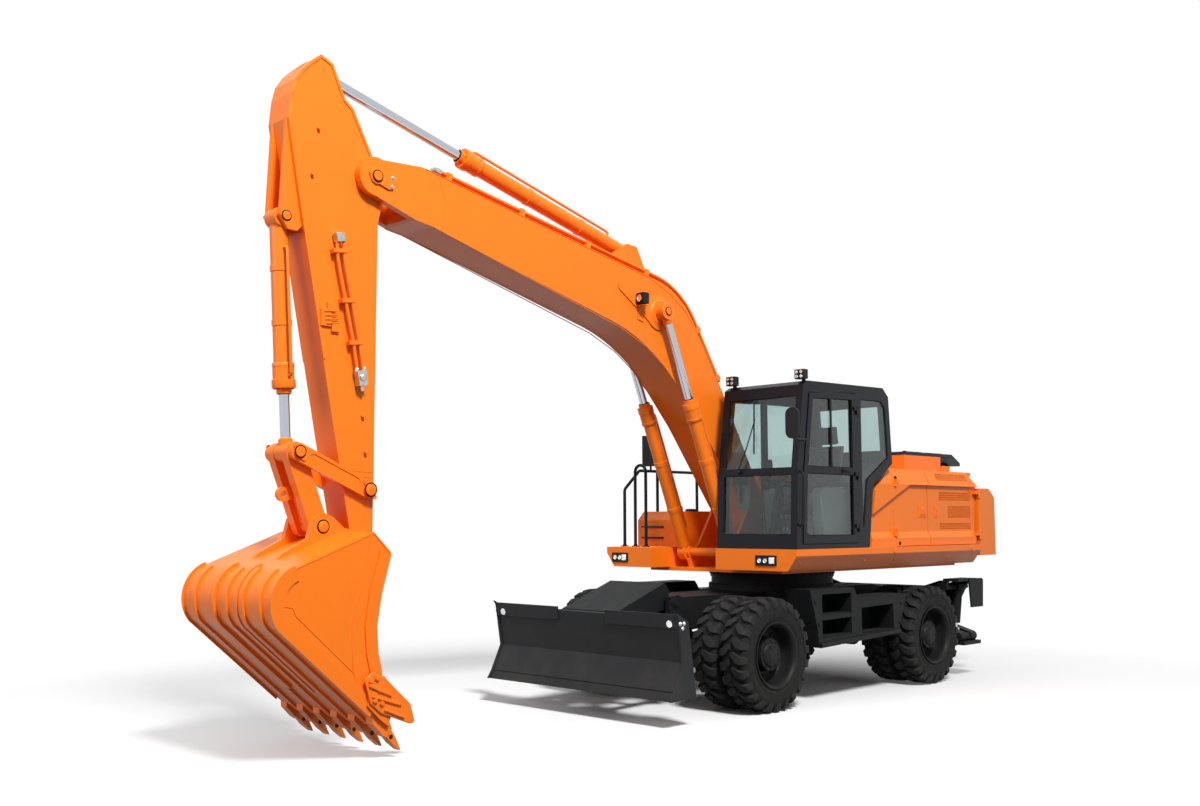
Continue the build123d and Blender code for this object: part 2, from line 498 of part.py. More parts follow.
# ================================================================ upper body
COUNTERWEIGHT_FRONT = -2405.0
DECK_PLATE_BOTTOM = RING_FLANGE_TOP
with BuildPart() as deck:
    # rotating flange of the swing ring
    with BuildSketch(Plane.XY.offset(RING_RACE_TOP + RING_GAP)):
        Circle(RING_RADIUS + 10)
    extrude(amount=RING_FLANGE_TOP - RING_RACE_TOP - RING_GAP)
    block(-2400, 1000, -880, 880, DECK_PLATE_BOTTOM, DECK_BOTTOM)
    # side boxes with their sloping lower faces: x from, x to, y inner, side
    for x0, x1, y_in, side in ((DECK_REAR, DECK_FRONT_LEFT, CAB_INNER, 1),
                               (DECK_REAR, DECK_FRONT_RIGHT, -BAY_RIGHT, -1)):
        cross_slab([(side * y_in, DECK_BOTTOM), (side * (DECK_SIDE - DECK_SLOPE), DECK_BOTTOM),
                    (side * DECK_SIDE, DECK_BAND), (side * DECK_SIDE, DECK_TOP), (side * y_in, DECK_TOP)],
                   x0, x1)
    # centre frame behind the boom foot, and the boom bracket's two cheeks
    block(DECK_REAR, -150, BAY_RIGHT, CAB_INNER, DECK_BOTTOM, DECK_TOP)
    block(COUNTERWEIGHT_FRONT + SEAT_GAP, DECK_REAR + 1, -900, 900, 1380, 1495)
    for side in (-1, 1):
        y0, y1 = sorted((WORK_Y + side * CHEEK_IN, WORK_Y + side * CHEEK_OUT))
        side_slab([(-700, DECK_TOP), (-150, DECK_BOTTOM), (900, DECK_BOTTOM), (930, 1370), (800, 1500),
                   (760, 1540), (560, 1840), (470, 2000), (300, 2010), (180, 1900)], y0, y1)
        pin_bar(BOOM_CYL_BASE, 64, y0, y1)
    pin_bar(BOOM_FOOT, 55, WORK_Y - CHEEK_OUT - 12, WORK_Y + CHEEK_OUT + 12)
    pin_bar(BOOM_CYL_BASE, 45, WORK_Y - BOOM_CYL_HALF - 65, WORK_Y + BOOM_CYL_HALF + 65)
save(deck.part, "deck")

# Hinge axes of the upright doors, (x, y)
CAB_DOOR_HINGE = (168.0, 1250.0)
FRONT_DOOR_HINGE = (-603.0, 1219.0)
REAR_DOOR_HINGE = (-2395.0, 1219.0)
PUMP_DOOR_HINGE = (-1153.0, -1219.0)
# Cab: a hollow shell with its door opening and window openings.
CAB_OUTLINE = [(1222, DECK_TOP + SEAT_GAP), (1190, 2270), (1070, 3110), (1000, 3150), (-354, 3176), (-459, 3086),
               (-510, 2377), (-135, 2145), (-42, DECK_TOP + SEAT_GAP)]
CAB_INSIDE = [(1170, 1560), (1140, 2265), (1025, 3060), (-330, 3110), (-405, 3060), (-455, 2405),
              (-85, 2175), (5, 1560)]
CAB_WALL = 45.0
DOOR_OUTLINE = [(1128, 1545), (1098, 2270), (985, 3040), (165, 3085), (165, 1545)]
with BuildPart() as cab_shell:
    side_slab(CAB_OUTLINE, CAB_INNER, CAB_OUTER)
    side_slab(CAB_INSIDE, CAB_INNER + CAB_WALL, CAB_OUTER - CAB_WALL, Mode.SUBTRACT)
    # door opening, left
    side_slab(DOOR_OUTLINE, CAB_OUTER - CAB_WALL - 1, CAB_OUTER + 1, Mode.SUBTRACT)
    # left quarter window and right windows
    side_slab([(70, 3030), (-320, 3030), (-390, 2960), (-430, 2440), (-30, 2200), (45, 1720), (70, 1700)],
              CAB_OUTER - CAB_WALL - 1, CAB_OUTER + 1, Mode.SUBTRACT)
    side_slab([(1080, 1640), (1055, 2260), (950, 3000), (480, 3020), (480, 1640)],
              CAB_INNER - 1, CAB_INNER + CAB_WALL + 1, Mode.SUBTRACT)
    side_slab([(410, 1700), (410, 3020), (-320, 3030), (-390, 2440), (-30, 2180), (50, 1700)],
              CAB_INNER - 1, CAB_INNER + CAB_WALL + 1, Mode.SUBTRACT)
    # windscreen and rear window
    block(900, 1300, CAB_INNER + 75, CAB_OUTER - 75, 2290, 3000, Mode.SUBTRACT)
    block(1000, 1300, CAB_INNER + 75, CAB_OUTER - 75, 1640, 2225, Mode.SUBTRACT)
    block(-600, -300, CAB_INNER + 110, CAB_OUTER - 110, 2520, 2990, Mode.SUBTRACT)
    hinge_leaves(CAB_DOOR_HINGE, (120, CAB_DOOR_HINGE[0]), CAB_OUTER - 1, (1700, 2230, 2900), False)
save(cab_shell.part, "cab_shell")

with BuildPart() as cab_door:
    door_y0, door_y1 = CAB_OUTER - CAB_WALL, CAB_OUTER + 8
    side_slab([(1120, 1553), (1090, 2270), (978, 3033), (173, 3077), (173, 1553)], door_y0, door_y1)
    side_slab([(1020, 2310), (925, 2985), (245, 3010), (245, 2310)], door_y0 - 1, door_y1 + 1, Mode.SUBTRACT)
    side_slab([(1060, 1660), (1030, 2240), (245, 2240), (245, 1630), (1000, 1630)],
              door_y0 - 1, door_y1 + 1, Mode.SUBTRACT)
    hinge_leaves(CAB_DOOR_HINGE, (CAB_DOOR_HINGE[0], 220), door_y1 - 1, (1700, 2230, 2900), True)
save(cab_door.part, "cab_door")

PANE = 8.0
with BuildPart() as door_glass:
    y0 = CAB_OUTER - 20
    side_slab([(1020, 2310), (925, 2985), (245, 3010), (245, 2310)], y0, y0 + PANE)
    side_slab([(1060, 1660), (1030, 2240), (245, 2240), (245, 1630), (1000, 1630)], y0, y0 + PANE)
save(door_glass.part, "cab_door_glass")

with BuildPart() as cab_glass:
    y0 = CAB_OUTER - 20
    side_slab([(70, 3030), (-320, 3030), (-390, 2960), (-430, 2440), (-30, 2200), (45, 1720), (70, 1700)],
              y0, y0 + PANE)
    y0 = CAB_INNER + 12
    side_slab([(1080, 1640), (1055, 2260), (950, 3000), (480, 3020), (480, 1640)], y0, y0 + PANE)
    side_slab([(410, 1700), (410, 3020), (-320, 3030), (-390, 2440), (-30, 2180), (50, 1700)], y0, y0 + PANE)
    for z0, z1 in ((2290, 3000), (1640, 2225)):
        front = [(1222 - (z - 1501) * 0.0416 if z < 2270 else 1190 - (z - 2270) * 0.1429, z) for z in (z0, z1)]
        (xa, za), (xb, zb) = front
        side_slab([(xa - 25, za), (xa - 25 + PANE, za), (xb - 25 + PANE, zb), (xb - 25, zb)],
                  CAB_INNER + 75, CAB_OUTER - 75)
    side_slab([(-490, 2520), (-482, 2520), (-447, 2990), (-455, 2990)], CAB_INNER + 110, CAB_OUTER - 110)
save(cab_glass.part, "cab_glass")

# Cab interior: floor, seat, side consoles, steering column.
seat_y = (CAB_INNER + CAB_OUTER) / 2
with BuildPart() as cab_interior:
    block(60, 1120, CAB_INNER + CAB_WALL + 5, CAB_OUTER - CAB_WALL - 5, 1560, 1600)
    block(120, 560, seat_y - 200, seat_y + 200, 1600, 1820)
    side_slab([(120, 1820), (620, 1820), (640, 1900), (600, 1960), (200, 1950), (120, 1900)],
              seat_y - 245, seat_y + 245)
    side_slab([(240, 1950), (60, 2560), (-40, 2560), (100, 1900)], seat_y - 235, seat_y + 235)
    side_slab([(70, 2560), (20, 2780), (-60, 2780), (-30, 2560)], seat_y - 120, seat_y + 120)
    for side in (-1, 1):
        y0, y1 = sorted((seat_y + side * 250, seat_y + side * 370))
        side_slab([(80, 1600), (620, 1600), (640, 2050), (520, 2120), (80, 2120)], y0, y1)
    round_bar((960, seat_y, 1600), (800, seat_y, 2190), 45)
    block(60, 240, seat_y - 245, seat_y + 245, 1601, 1830)
save(cab_interior.part, "cab_interior")

# Engine: one plain block.
with BuildPart() as engine:
    block(-2150, -1250, -480, 560, DECK_TOP, 2230)
save(engine.part, "engine")

# The engine bay's sides share one relief: a sloping band above the crease and a recess below it.
CREASE_Z = 2165.0
RECESS_Y = COWL_SIDE - 31.0
PANEL_IN = COWL_SIDE - 75.0


def side_relief(side, x0, x1, crease):
    """Slope a side above its crease and sink it below, down to the sill; crease holds x, z points."""
    cross_slab([(side * (COWL_SIDE + 4), CREASE_Z), (side * (COWL_SIDE - 97), CREASE_Z + 235),
                (side * (COWL_SIDE + 20), CREASE_Z + 235), (side * (COWL_SIDE + 20), CREASE_Z)],
               x0, x1, Mode.SUBTRACT)
    cross_slab([(side * (COWL_SIDE + 5), 1588), (side * RECESS_Y, 1655), (side * RECESS_Y, 1700),
                (side * (COWL_SIDE + 5), 1700)], x0, x1, Mode.SUBTRACT)
    side_slab([(x0, 1699), *crease, (x1, 1699)], *sorted((side * RECESS_Y, side * (COWL_SIDE + 5))),
              Mode.SUBTRACT)


# Right side: fuel tank and tool box at the front, hydraulic tank behind.
with BuildPart() as tanks:
    side_slab([(-425, DECK_TOP), (855, DECK_TOP), (855, 1790), (760, 1885), (-425, 1885)],
              -COWL_SIDE, BAY_RIGHT - 10)
    block(-1150, -425, -COWL_SIDE, BAY_RIGHT - 10, DECK_TOP, COWL_TOP)
    side_relief(-1, -1151, -424, ((-1151, CREASE_Z), (-424, CREASE_Z)))
    hinge_leaves(PUMP_DOOR_HINGE, (PUMP_DOOR_HINGE[0], -1110), -COWL_SIDE + 45, (1650, 2180), False)
save(tanks.part, "tanks")

HOOD_HINGE = (-1565.0, HOOD_TOP + 4)   # (x, z), across the machine
# Cowl: fixed panels round the engine, with openings for the side doors and the hood.
with BuildPart() as cowl:
    side_slab([(-600, DECK_TOP), (-112, DECK_TOP), (-205, 2100), (-570, COWL_TOP), (-600, COWL_TOP)],
              PANEL_IN, COWL_SIDE + 4)
    side_relief(1, -601, -100, ((-601, 2038), (-100, 1818)))
    side_slab([(-600, DECK_TOP), (-560, DECK_TOP), (-560, COWL_TOP - 40), (-600, COWL_TOP - 40)],
              CAB_INNER, PANEL_IN + 1)
    block(-2380, -1160, 5 - PANEL_IN, PANEL_IN - 5, COWL_TOP - 40, COWL_TOP)
    block(-1162, -560, BAY_RIGHT, PANEL_IN - 5, COWL_TOP - 40, COWL_TOP)
    block(-1162, -1122, BAY_RIGHT, CAB_INNER, DECK_TOP, COWL_TOP - 39)
    for side in (-1, 1):
        y0, y1 = sorted((side * 690, side * 730))
        block(-2398, -1580, y0, y1, COWL_TOP - 41, HOOD_TOP - 40)
    block(-1620, -1580, -690, 690, COWL_TOP - 1, HOOD_TOP - 40)
    hinge_leaves(FRONT_DOOR_HINGE, (FRONT_DOOR_HINGE[0], -560), COWL_SIDE - 45, (1650, 2180), False)
    for y in (-400, 400):
        block(-1582, -1558, y - 30, y + 30, HOOD_TOP - 95, HOOD_TOP - 41)
        block(-1572, -1558, y - 30, y + 30, HOOD_TOP - 42, HOOD_TOP)
        round_bar((HOOD_HINGE[0], y - 30, HOOD_HINGE[1]), (HOOD_HINGE[0], y + 30, HOOD_HINGE[1]), 8)
save(cowl.part, "cowl")

with BuildPart() as hood:
    side_slab([(-1575, HOOD_TOP - 35), (-1600, HOOD_TOP), (-2660, HOOD_TOP), (-2850, HOOD_TOP - 95),
               (-2860, HOOD_TOP - 135), (-2640, HOOD_TOP - 35)], -735, 735)
    # louvre ribs across the lid, in two fields
    for index in range(16):
        x = -1770 - 50 * index
        if abs(index - 7.5) > 1:
            block(x - 24, x, -660, 660, HOOD_TOP - 1, HOOD_TOP + 11)
    for y in (-400, 400):
        for y0, y1 in ((y - 70, y - 30.5), (y + 30.5, y + 70)):
            round_bar((HOOD_HINGE[0], y0, HOOD_HINGE[1]), (HOOD_HINGE[0], y1, HOOD_HINGE[1]), 8)
            block(-1660, HOOD_HINGE[0], y0, y1, HOOD_TOP - 1, HOOD_HINGE[1] + 5)
save(hood.part, "hood_lid")

# Side doors of the engine bay.
# (label, front edge, rear edge, side, hinge, leaf's far end, hinge heights, front and level end of the crease)
DOORS = (("engine_door_front", -606, -1295, 1, FRONT_DOOR_HINGE, -650, (1650, 2180), (2040, -899)),
         ("engine_door_rear", -1309, -2392, 1, REAR_DOOR_HINGE, -2300, (1600, 2080), (CREASE_Z, -1400)),
         ("pump_door", -1156, -2392, -1, PUMP_DOOR_HINGE, -1200, (1650, 2180), (CREASE_Z, -1400)))
# (x front, x rear, z low, z high) of the rear door's grilles; the last lies on the slope
GRILLES = ((-1562, -2265, 1672, 1745), (-1747, -2265, 1803, 1940), (-1553, -2265, 1997, 2094))
SLOPE_GRILLE = (-1500, -2200, 2222, 2300)
# (x front, x rear) of the latch plates beside the seam between the left doors
LATCHES = {"engine_door_front": (-1107, -1275), "engine_door_rear": (-1430, -1530)}
for label, x_front, x_back, side, hinge, leaf_end, heights, (crease_z, crease_x) in DOORS:
    with BuildPart() as door:
        if x_back < -2300:
            outline = [(x_front, DECK_TOP + 6), (x_back + 70, DECK_TOP + 6), (x_back, 2160),
                       (x_back + 150, COWL_TOP), (x_front, COWL_TOP)]
        else:
            outline = [(x_front, DECK_TOP + 6), (x_back, DECK_TOP + 6), (x_back, COWL_TOP), (x_front, COWL_TOP)]
        side_slab(outline, *sorted((side * PANEL_IN, side * (COWL_SIDE + 4))))
        side_relief(side, x_back - 1, x_front + 1,
                    ((x_back - 1, CREASE_Z), (crease_x, CREASE_Z), (x_front + 1, crease_z)))
        if label == "engine_door_rear":
            for x0, x1, z0, z1 in GRILLES:
                block(x1, x0, RECESS_Y - 8, RECESS_Y + 1, z0, z1, Mode.SUBTRACT)
            x0, x1, z0, z1 = SLOPE_GRILLE
            (y_low, y_high) = [COWL_SIDE + 4 - (z - CREASE_Z) * 101 / 235 for z in (z0, z1)]
            cross_slab([(y_low - 8, z0), (y_low + 8, z0), (y_high + 8, z1), (y_high - 8, z1)], x1, x0, Mode.SUBTRACT)
        if label in LATCHES:
            x0, x1 = LATCHES[label]
            block(x1, x0, RECESS_Y - 1, RECESS_Y + 5, 1811, 1945)
            block(x1 + 35, x0 - 35, RECESS_Y + 4, RECESS_Y + 14, 1840, 1916)
        hinge_leaves(hinge, (hinge[0], leaf_end), side * (COWL_SIDE - 45), heights, True)
    save(door.part, label)

# Counterweight: a cast block, its rear face round about the swing axis.
with BuildPart() as counterweight:
    with BuildSketch(Plane.XY.offset(1370)):
        with Locations((0, 0)):
            Circle(TAIL_RADIUS)
        with Locations((COUNTERWEIGHT_FRONT - TAIL_RADIUS / 2, 0)):
            Rectangle(TAIL_RADIUS, 2 * COWL_SIDE, mode=Mode.INTERSECT)
    extrude(amount=2150 - 1370)
    block(-2960, COUNTERWEIGHT_FRONT, -740, 740, 2149, 2430)
    hinge_leaves(REAR_DOOR_HINGE, (COUNTERWEIGHT_FRONT - 20, REAR_DOOR_HINGE[0]), COWL_SIDE - 45,
                 (1600, 2080), False)
    side_slab([(-2600, 2200), (-3100, 1800), (-3100, 2500), (-2600, 2500)], -1300, 1300, Mode.SUBTRACT)
save(counterweight.part, "counterweight")

# Handrails on the right platform, and mirrors.
RAIL = 17.0
with BuildPart() as handrails:
    with BuildLine() as front_loop:
        FilletPolyline((1150, -966, DECK_TOP), (1150, -966, 2385), (1150, -809, 2385), (1150, -809, DECK_TOP),
                       radius=75)
    with BuildSketch(Plane(origin=(1150, -966, DECK_TOP), z_dir=(0, 0, 1))):
        Circle(RAIL)
    sweep()
    with BuildLine() as side_rail:
        FilletPolyline((1080, -1195, DECK_TOP), (1080, -1195, 2130), (840, -1195, 2345), (-150, -1195, 2345),
                       radius=60)
    with BuildSketch(Plane(origin=(1080, -1195, DECK_TOP), z_dir=(0, 0, 1))):
        Circle(RAIL)
    sweep()
    round_bar((-150, -1195, 2345), (-150, -1195, 1886), RAIL)
    round_bar((540, -1195, 2345), (540, -1195, 1886), RAIL)
save(handrails.part, "handrails")

with BuildPart() as mirrors:
    round_bar((650, -1195, 2345 + RAIL + SEAT_GAP), (650, -1195, 2620), 12)
    block(655, 690, -1290, -1100, 2400, 2750)
    round_bar((1105, CAB_OUTER + SEAT_GAP, 2560), (1105, CAB_OUTER + 40, 2560), 12)
    round_bar((1105, CAB_OUTER + 40, 2560), (1330, 1300, 2560), 12)
    round_bar((1330, 1300, 2550), (1330, 1300, 2640), 12)
    with BuildSketch(Plane.YZ.offset(1310)) as face:
        with Locations((1285, 2710)):
            RectangleRounded(150, 300, 70)
    extrude(face.sketch, amount=35)
save(mirrors.part, "mirrors")

# Lamps: two on the cab roof and one unit in the front of each platform.
with BuildPart() as lamps:
    for y in (CAB_INNER + 60, CAB_OUTER - 60):
        block(985, 1055, y - 55, y + 55, 3168, 3262)
        block(962, 992, y - 14, y + 14, 3151.1, 3190)
    block(DECK_FRONT_LEFT + SEAT_GAP, DECK_FRONT_LEFT + 12, 760, 1010, 1340, 1440)
    block(DECK_FRONT_RIGHT + SEAT_GAP, DECK_FRONT_RIGHT + 12, -1160, -930, 1340, 1440)
save(lamps.part, "lamps")

# ================================================================ boom
with BuildPart() as boom:
    with BuildSketch(Plane.XZ.offset(-(WORK_Y + BOOM_HALF))) as profile:
        with BuildLine():
            Polyline((421, 1722), (1232, 2758), (1984, 3562), (4705, 4262), (4876, 4288), (5345, 4440),
                     (5355, 4715), (5324, 4722), (4816, 4750), (1534, 4121), (875, 3100), (169, 1905),
                     close=True)
        make_face()
        fillet([v for v in profile.vertices() if abs(v.X - 1534) < 1], 850)
        fillet([v for v in profile.vertices() if abs(v.X - 1984) < 1], 2000)
        with Locations(ARM_PIN):
            Circle(160)
        with Locations(BOOM_FOOT):
            Circle(160)
    extrude(amount=2 * BOOM_HALF)
    pin_bar(BOOM_FOOT, 55 + PIN_GAP, WORK_Y - 300, WORK_Y + 300, Mode.SUBTRACT)
    # fork for the arm
    block(4915, 5600, WORK_Y - ARM_HALF - 8, WORK_Y + ARM_HALF + 8, 4200, 4900, Mode.SUBTRACT)
    side_slab([(4920, 4622), (4660, 4743), (4660, 4900), (4920, 4900)],
              WORK_Y - ARM_HALF - 8, WORK_Y + ARM_HALF + 8, Mode.SUBTRACT)
    pin_bar(ARM_PIN, 50, WORK_Y - BOOM_HALF - 20, WORK_Y + BOOM_HALF + 20)
    # bosses and doublers beside the boom cylinders' eyes, and the arm cylinder's bracket on top
    pin_bar(BOOM_CYL_EYE, 118, WORK_Y - CHEEK_OUT, WORK_Y + CHEEK_OUT)
    link_plate([(*BOOM_CYL_EYE, 165), (*along(BOOM_CYL_EYE, ARM_CYL_EYE, 560), 55)],
               WORK_Y - BOOM_HALF - 12, WORK_Y + BOOM_HALF + 12)
    for side in (-1, 1):
        y_near = WORK_Y + side * (BASE_HALF + SIDE_GAP)
        y0, y1 = sorted((y_near, y_near + side * 40))
        side_slab([(1905, 4190), (2085, 4520), (2225, 4530), (2575, 4310)], y0, y1)
    pin_bar(ARM_CYL_BASE, 45, WORK_Y - 122, WORK_Y + 122)
save(boom.part, "boom")

# Boom fittings: two pipes along the top with their clamps, and the working lamp on its bracket.
BOOM_BEND = (1534.0, 4121.0)
BOOM_BACK = (875.0, 3100.0)
BOOM_END = (4816.0, 4750.0)
PIPE_OUT = 45.0
PIPE_CORNER = (1506.6, 4161.6)
with BuildPart() as boom_fittings:
    for y in (WORK_Y + 160, WORK_Y + 200):
        start = beside(BOOM_BACK, BOOM_BEND, 140, -PIPE_OUT)
        end = beside(BOOM_BEND, BOOM_END, 3150, -PIPE_OUT)
        with BuildLine():
            FilletPolyline(at_y(start, y), at_y(PIPE_CORNER, y), at_y(end, y), radius=895)
        run = Vector(*at_y(PIPE_CORNER, y)) - Vector(*at_y(start, y))
        with BuildSketch(Plane(origin=at_y(start, y), z_dir=run)):
            Circle(15)
        sweep()
    # (line's start, line's end, distance along it) of each clamp
    for line_start, line_end, run in ((BOOM_BACK, BOOM_BEND, 190), (BOOM_BACK, BOOM_BEND, 760),
                                      (BOOM_BEND, BOOM_END, 520), (BOOM_BEND, BOOM_END, 1350),
                                      (BOOM_BEND, BOOM_END, 2200), (BOOM_BEND, BOOM_END, 3050)):
        side_slab([beside(line_start, line_end, run - 28, -SEAT_GAP), beside(line_start, line_end, run - 28, -66),
                   beside(line_start, line_end, run + 28, -66), beside(line_start, line_end, run + 28, -SEAT_GAP)],
                  WORK_Y + 140, WORK_Y + 220)
save(boom_fittings.part, "boom_fittings")

with BuildPart() as boom_barrels:
    for side in (-1, 1):
        cylinder_barrel(BOOM_CYL_BASE, BOOM_CYL_EYE, WORK_Y + side * BOOM_CYL_HALF, 1640, 68, 85, 45, 42, BOOM_EYE_HALF)
save(boom_barrels.part, "boom_cylinder_barrels")
with BuildPart() as boom_rods:
    for side in (-1, 1):
        cylinder_rod(BOOM_CYL_BASE, BOOM_CYL_EYE, WORK_Y + side * BOOM_CYL_HALF, 900, 82, 42, BOOM_EYE_HALF)
save(boom_rods.part, "boom_cylinder_rods")

with BuildPart() as arm_barrel:
    cylinder_barrel(ARM_CYL_BASE, ARM_CYL_EYE, WORK_Y, 2140, 75, 85, 45, 45, BASE_HALF)
save(arm_barrel.part, "arm_cylinder_barrel")
with BuildPart() as arm_rod:
    cylinder_rod(ARM_CYL_BASE, ARM_CYL_EYE, WORK_Y, 1500, 80, 45, EYE_HALF)
save(arm_rod.part, "arm_cylinder_rod")

# ================================================================ arm
with BuildPart() as arm:
    with BuildSketch(Plane.XZ.offset(-(WORK_Y + ARM_HALF))):
        with BuildLine():
            Polyline((5217, 1600), (5205, 4220), (5145, 4560), (5264, 4750), (5460, 5120), (5537, 5180),
                     (5655, 5440), (5765, 5490), (5858, 5408), (5935, 5328), (5997, 5229), (6027, 5110),
                     (6048, 4910), (5931, 4258), (5602, 2567), (5428, 1694), close=True)
        make_face()
        with Locations(BUCKET_PIN):
            Circle(100)
        with Locations(ARM_PIN):
            Circle(150)
    extrude(amount=2 * ARM_HALF)
    pin_bar(ARM_PIN, 50 + PIN_GAP, WORK_Y - 200, WORK_Y + 200, Mode.SUBTRACT)
    # slot for the arm cylinder's rod eye at the top
    side_slab([(5560, 5225), (5300, 5640), (5915, 5640), (5915, 5500), (5880, 5225)],
              WORK_Y - EYE_HALF - SIDE_GAP, WORK_Y + EYE_HALF + SIDE_GAP, Mode.SUBTRACT)
    # ears of the bucket cylinder's base
    for side in (-1, 1):
        y_near = WORK_Y + side * (BASE_HALF + SIDE_GAP)
        y0, y1 = sorted((y_near, y_near + side * 40))
        side_slab([(6048, 4910), (6083, 4140), (6015, 4040), (5935, 4035), (5855, 4120), (5880, 4300)], y0, y1)
    pin_bar(BUCKET_CYL_BASE, 42, WORK_Y - 121, WORK_Y + 121)
    for y0, y1 in ((WORK_Y - EAR_OUT, WORK_Y - ARM_HALF + 1), (WORK_Y + ARM_HALF - 1, WORK_Y + EAR_OUT)):
        pin_bar(GUIDE_PIN, 45, y0, y1)
        pin_bar(BUCKET_PIN, 45, y0, y1)
    # pin caps outside the guide links and the bucket's ears
    for side in (-1, 1):
        y0, y1 = sorted((WORK_Y + side * (EAR_OUT - 1), WORK_Y + side * (EAR_OUT + 5)))
        y2, y3 = sorted((WORK_Y + side * (EAR_OUT + 5), WORK_Y + side * (EAR_OUT + 17)))
        for place in (GUIDE_PIN, BUCKET_PIN):
            pin_bar(place, 45, y0, y1)
            pin_bar(place, 60, y2, y3)
save(arm.part, "arm")

with BuildPart() as bucket_barrel:
    cylinder_barrel(BUCKET_CYL_BASE, LINK_PIN, WORK_Y, 1330, 72, 80, 42, 40, BASE_HALF)
save(bucket_barrel.part, "bucket_cylinder_barrel")
with BuildPart() as bucket_rod:
    cylinder_rod(BUCKET_CYL_BASE, LINK_PIN, WORK_Y, 400, 75, 40, EYE_HALF)
save(bucket_rod.part, "bucket_cylinder_rod")

with BuildPart() as guide_links:
    for side in (-1, 1):
        y0, y1 = sorted((WORK_Y + side * (EAR_IN - 2), WORK_Y + side * EAR_OUT))
        link_plate([(*LINK_PIN, 68), (*GUIDE_PIN, 68)], y0, y1)
        pin_bar(GUIDE_PIN, 45 + PIN_GAP, y0 - 1, y1 + 1, Mode.SUBTRACT)
        # recessed panel on the outer face, and the cap on the upper pin
        y0, y1 = sorted((WORK_Y + side * (EAR_OUT - 7), WORK_Y + side * (EAR_OUT + 1)))
        link_plate([(*along(LINK_PIN, GUIDE_PIN, 140), 42), (*along(GUIDE_PIN, LINK_PIN, 140), 42)],
                   y0, y1, Mode.SUBTRACT)
        pin_bar(LINK_PIN, 52, *sorted((WORK_Y + side * (EAR_OUT - 1), WORK_Y + side * (EAR_OUT + 14))))
save(guide_links.part, "guide_links")

with BuildPart() as bucket_link:
    for side in (-1, 1):
        y0, y1 = sorted((WORK_Y + side * (EYE_HALF + SIDE_GAP), WORK_Y + side * (ARM_HALF - 2)))
        link_plate([(*LINK_PIN, 80), (*BUCKET_LINK_PIN, 80)], y0, y1)
    side_slab([(5755, 1760), (5875, 2120), (5835, 2140), (5715, 1780)], WORK_Y - 60, WORK_Y + 60)
    pin_bar(BUCKET_LINK_PIN, 45 + PIN_GAP, WORK_Y - 200, WORK_Y + 200, Mode.SUBTRACT)
    # lifting eye
    link_plate([(5945, 1990, 55), (5835, 2010, 40)], WORK_Y - 22, WORK_Y + 22)
    pin_bar((5950, 1990), 28, WORK_Y - 23, WORK_Y + 23, Mode.SUBTRACT)
save(bucket_link.part, "bucket_link")

# ================================================================ bucket
SHELL = 22.0
LIP = (5427.0, 222.0)            # cutting edge
FLOOR_END = (6337.0, 1020.0)     # where the floor runs into the heel
FLOOR_RUN = hypot(FLOOR_END[0] - LIP[0], FLOOR_END[1] - LIP[1])
HEEL_CENTRE = (6130.2, 1194.6)
HEEL_RADIUS = hypot(FLOOR_END[0] - HEEL_CENTRE[0], FLOOR_END[1] - HEEL_CENTRE[1])
HEEL_START = degrees(atan2(FLOOR_END[1] - HEEL_CENTRE[1], FLOOR_END[0] - HEEL_CENTRE[0]))


def on_floor(back, out):
    """An x, z place behind the cutting edge and outside the floor."""
    return beside(LIP, FLOOR_END, back, out)


def on_heel(turn, out):
    """An x, z place round the heel, at an angle in degrees, outside the shell."""
    reach = HEEL_RADIUS + out
    return (HEEL_CENTRE[0] + reach * cos(radians(turn)), HEEL_CENTRE[1] + reach * sin(radians(turn)))


def shell_band(back, turn, out0, out1, y0, y1):
    """A band along the floor and round the heel, from out0 to out1 off the shell."""
    middle = (HEEL_START + turn) / 2
    with BuildSketch(Plane.XZ.offset(-y1)) as face:
        with BuildLine():
            Line(on_floor(back, out0), on_heel(HEEL_START, out0))
            ThreePointArc(on_heel(HEEL_START, out0), on_heel(middle, out0), on_heel(turn, out0))
            Line(on_heel(turn, out0), on_heel(turn, out1))
            ThreePointArc(on_heel(turn, out1), on_heel(middle, out1), on_heel(HEEL_START, out1))
            Line(on_heel(HEEL_START, out1), on_floor(back, out1))
            Line(on_floor(back, out1), on_floor(back, out0))
        make_face()
    extrude(face.sketch, amount=y1 - y0)


